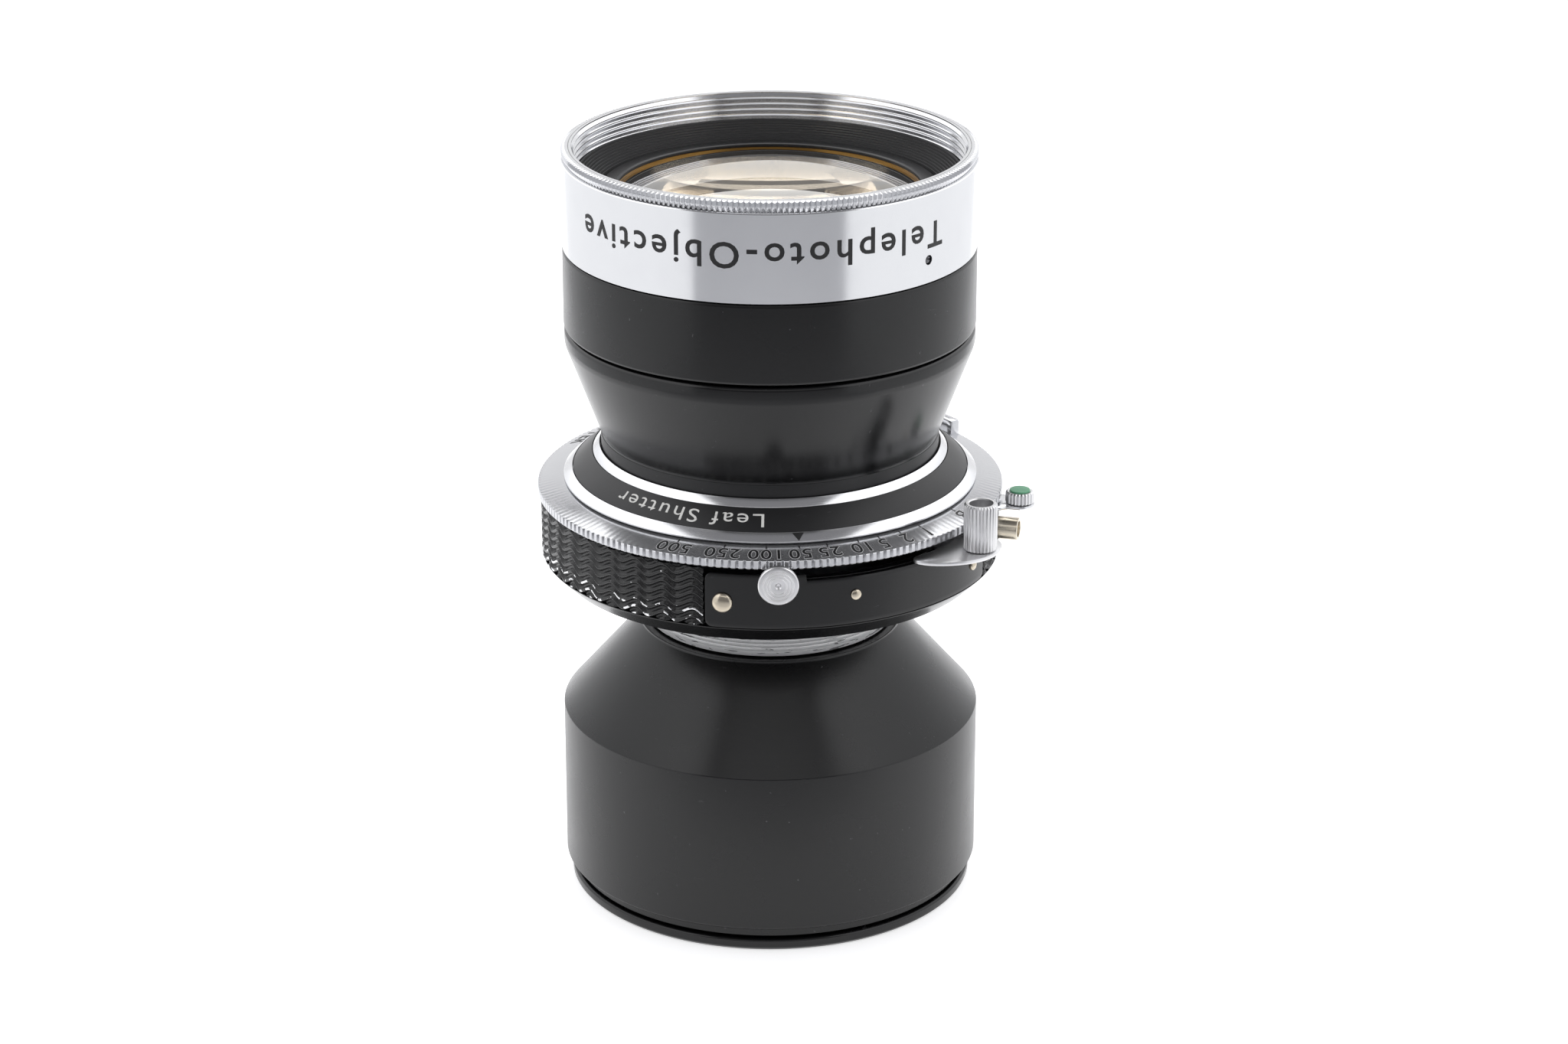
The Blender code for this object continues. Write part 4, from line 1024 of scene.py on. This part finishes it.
guard = Reach("front_baffle")
STEPS, guard_bore = 9, guard.radius - 2.6 * MM
step_width, step_height = 2.5 * MM / STEPS, 2.3 * MM / STEPS
stairs = []
for i in range(STEPS):
    edge, level = guard.radius - 0.1 * MM - i * step_width, guard.high - i * step_height
    stairs += [(edge, level), (edge - step_width * 0.55, level),
               (edge - step_width * 0.62, level - step_height * 1.6)]
baffle = turn([(guard.radius, guard.high), (guard.radius, guard.low), (guard_bore, guard.low),
               (guard_bore, guard.low + 0.5 * MM), *stairs[::-1]], 160)
settle(baffle, "stepped_front_baffle", grooved_black, "lens_body", ["front_baffle"], 20)
clear = Reach("front_retaining_ring")
gilt = turn([(19.15 * MM, clear.low + 0.8 * MM), (19.15 * MM, clear.low + 0.35 * MM),
             (18.95 * MM, clear.low + 0.4 * MM), (19.0 * MM, clear.low + 0.75 * MM)], 160)
settle(gilt, "glass_edge_ring", gilt_edge, "lens_body")
keeper_bore = clear.radius - 2.1 * MM
keeper = turn(rounded([
    (clear.radius, clear.high - 0.15 * MM), (clear.radius, clear.low), (keeper_bore, clear.high - 0.5 * MM),
    (keeper_bore, clear.high - 0.1 * MM), (clear.radius - 1.8 * MM, clear.high),
], 0.08 * MM), 160)
settle(keeper, "front_glass_keeper", name_enamel, "lens_body", ["front_retaining_ring"])
print("front cell turned")

# %% [markdown]
# Each glass has two spherical faces, so its outline is two arcs. Smooth glass needs many steps,
# because a flat facet shows at once in its reflections.

# %% Glasses
FACE_STEPS = 18


def bulge(curve, radius):
    """How far a sphere has fallen from its pole at a radius."""
    return abs(curve) - math.sqrt(curve * curve - radius * radius)


def face_points(edge, height, curve):
    """A face from its pole to its edge, which is at the height. It is domed up if curve is above 0."""
    radii = [edge * i / FACE_STEPS for i in range(FACE_STEPS + 1)]
    side = math.copysign(1.0, curve)
    return [(r, height + side * (bulge(curve, edge) - bulge(curve, r))) for r in radii]


def glass(node, name, top_curve, base_curve, finish):
    """Turns a glass whose rim lies where the CAD node's faces end."""
    reach = Reach(node)
    edge = reach.radius
    top = reach.high - (bulge(top_curve, edge) if top_curve > 0 else 0.0)
    base = reach.low + (bulge(base_curve, edge) if base_curve < 0 else 0.0)
    outline = face_points(edge, top, top_curve) + face_points(edge, base, base_curve)[::-1]
    return settle(turn(outline, 128, closed=False), name, finish, "lens_body", [node], 40)


glass("front_crown_glass", "front_crown_element", 62 * MM, -80 * MM, front_glass_finish)
glass("front_flint_glass", "front_flint_element", -80 * MM, 300 * MM, flint_finish)
glass("inner_glass", "inner_front_element", 90 * MM, 120 * MM, inner_glass_finish)
glass("rear_inner_glass", "inner_rear_element", -140 * MM, 260 * MM, inner_glass_finish)
glass("rear_outer_glass", "outer_rear_element", -110 * MM, -260 * MM, inner_glass_finish)
print("glasses turned")

# %% [markdown]
# The lens stands on a pale floor in soft studio light. A lit panel on each side shows in the chrome
# band as a bright field, with a grey one between the two. The panels are meshes, because a mesh also
# hides what is behind it in a reflection, and an area light doesn't. Area lights stand overhead, in
# front and behind. The floor glows faintly and stays pale far back, but not from 0.1 m in front of
# the lens on: the middle of the chrome band mirrors that part, and shows it as grey.

# %% Stage, lights and camera
FLOOR_BACK, GLOW_FROM, PANEL_STEP = 1.0, -0.1, 0.09
fresh()
bpy.ops.mesh.primitive_grid_add(x_subdivisions=8, y_subdivisions=8, size=4.0, location=(0, FLOOR_BACK, 0))
floor = bpy.context.object
floor.name = "studio_floor"
floor_finish = Finish("studio_floor", (0.8, 0.8, 0.81), 0.7)
pale = ((floor_finish.along(1) - (GLOW_FROM - FLOOR_BACK)) * 20.0).clamp()
floor_finish.set("Emission Color", floor_finish.mix(pale, (0.07, 0.075, 0.085), (0.6, 0.6, 0.6)))
floor_finish.set("Emission Strength", 1.0)
floor.data.materials.append(floor_finish.material)
floor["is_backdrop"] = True


def soft_light(name, size_x, size_y, place, target, radiance):
    """An area light whose strength is given by how bright its face is."""
    fresh()
    bpy.ops.object.light_add(type="AREA", location=place)
    light = bpy.context.object
    light.name = name
    light.data.shape = "RECTANGLE"
    light.data.size, light.data.size_y = size_x, size_y
    light.data.energy = radiance * math.pi * size_x * size_y
    light.rotation_euler = (Vector(target) - Vector(place)).to_track_quat("-Z", "Y").to_euler()
    light.visible_camera = False


panel_finish = Finish("lit_panel", (0.1, 0.1, 0.1), 0.8)
upper = ((panel_finish.along(2) - PANEL_STEP) * 12.0).clamp()
panel_finish.set("Emission Color", panel_finish.mix(upper, (0.9, 0.91, 0.93), (1.4, 1.4, 1.42)))
panel_finish.set("Emission Strength", 1.0)
PANEL_SIZE, PANEL_PLACE = (0.49, 0.36, 1, 1), (0.16, 0.055, 0.181)
for side, name in ((-1, "left_panel"), (1, "right_panel")):
    fresh()
    bpy.ops.mesh.primitive_plane_add(size=1.0)
    panel = bpy.context.object
    panel.name = name
    panel.data.transform(Matrix.Diagonal(PANEL_SIZE))
    panel.data.transform(Matrix.Rotation(math.pi / 2, 4, "Z") @ Matrix.Rotation(math.pi / 2, 4, "X"))
    across, back, up = PANEL_PLACE
    panel.data.transform(Matrix.Translation((side * across, back, up)))
    panel.data.materials.append(panel_finish.material)
    panel.visible_camera = False
    panel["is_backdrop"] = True
soft_light("top_light", 0.8, 0.5, (0.0, 0.42, 0.62), (0, 0, 0.08), 2.0)
soft_light("front_light", 0.6, 0.2, (0.0, -0.5, 0.52), (0, 0, 0.09), 0.8)
soft_light("back_panel", 1.6, 0.45, (0.0, 0.9, 0.26), (0, 0, 0.26), 0.7)
world = bpy.data.worlds.new("studio")
world.use_nodes = True
sky = world.node_tree.nodes["Background"].inputs
sky["Color"].default_value = (0.22, 0.22, 0.23, 1.0)
sky["Strength"].default_value = 1.0
bpy.context.scene.world = world
bpy.context.scene.view_settings.view_transform = "Standard"

camera_data = bpy.data.cameras.new("camera")
camera = bpy.data.objects.new("camera", camera_data)
bpy.context.scene.collection.objects.link(camera)
camera_data.sensor_width = 36.0
camera_data.lens = 92.04
camera.location = (1.78 * MM, -482.1 * MM, 233.4 * MM)
camera.rotation_euler = (math.radians(69.0), 0, 0)
bpy.context.scene.camera = camera

# %% Sizes and finish
low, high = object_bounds()
print("visual box", [round(v / MM, 2) for v in (*low, *high)])
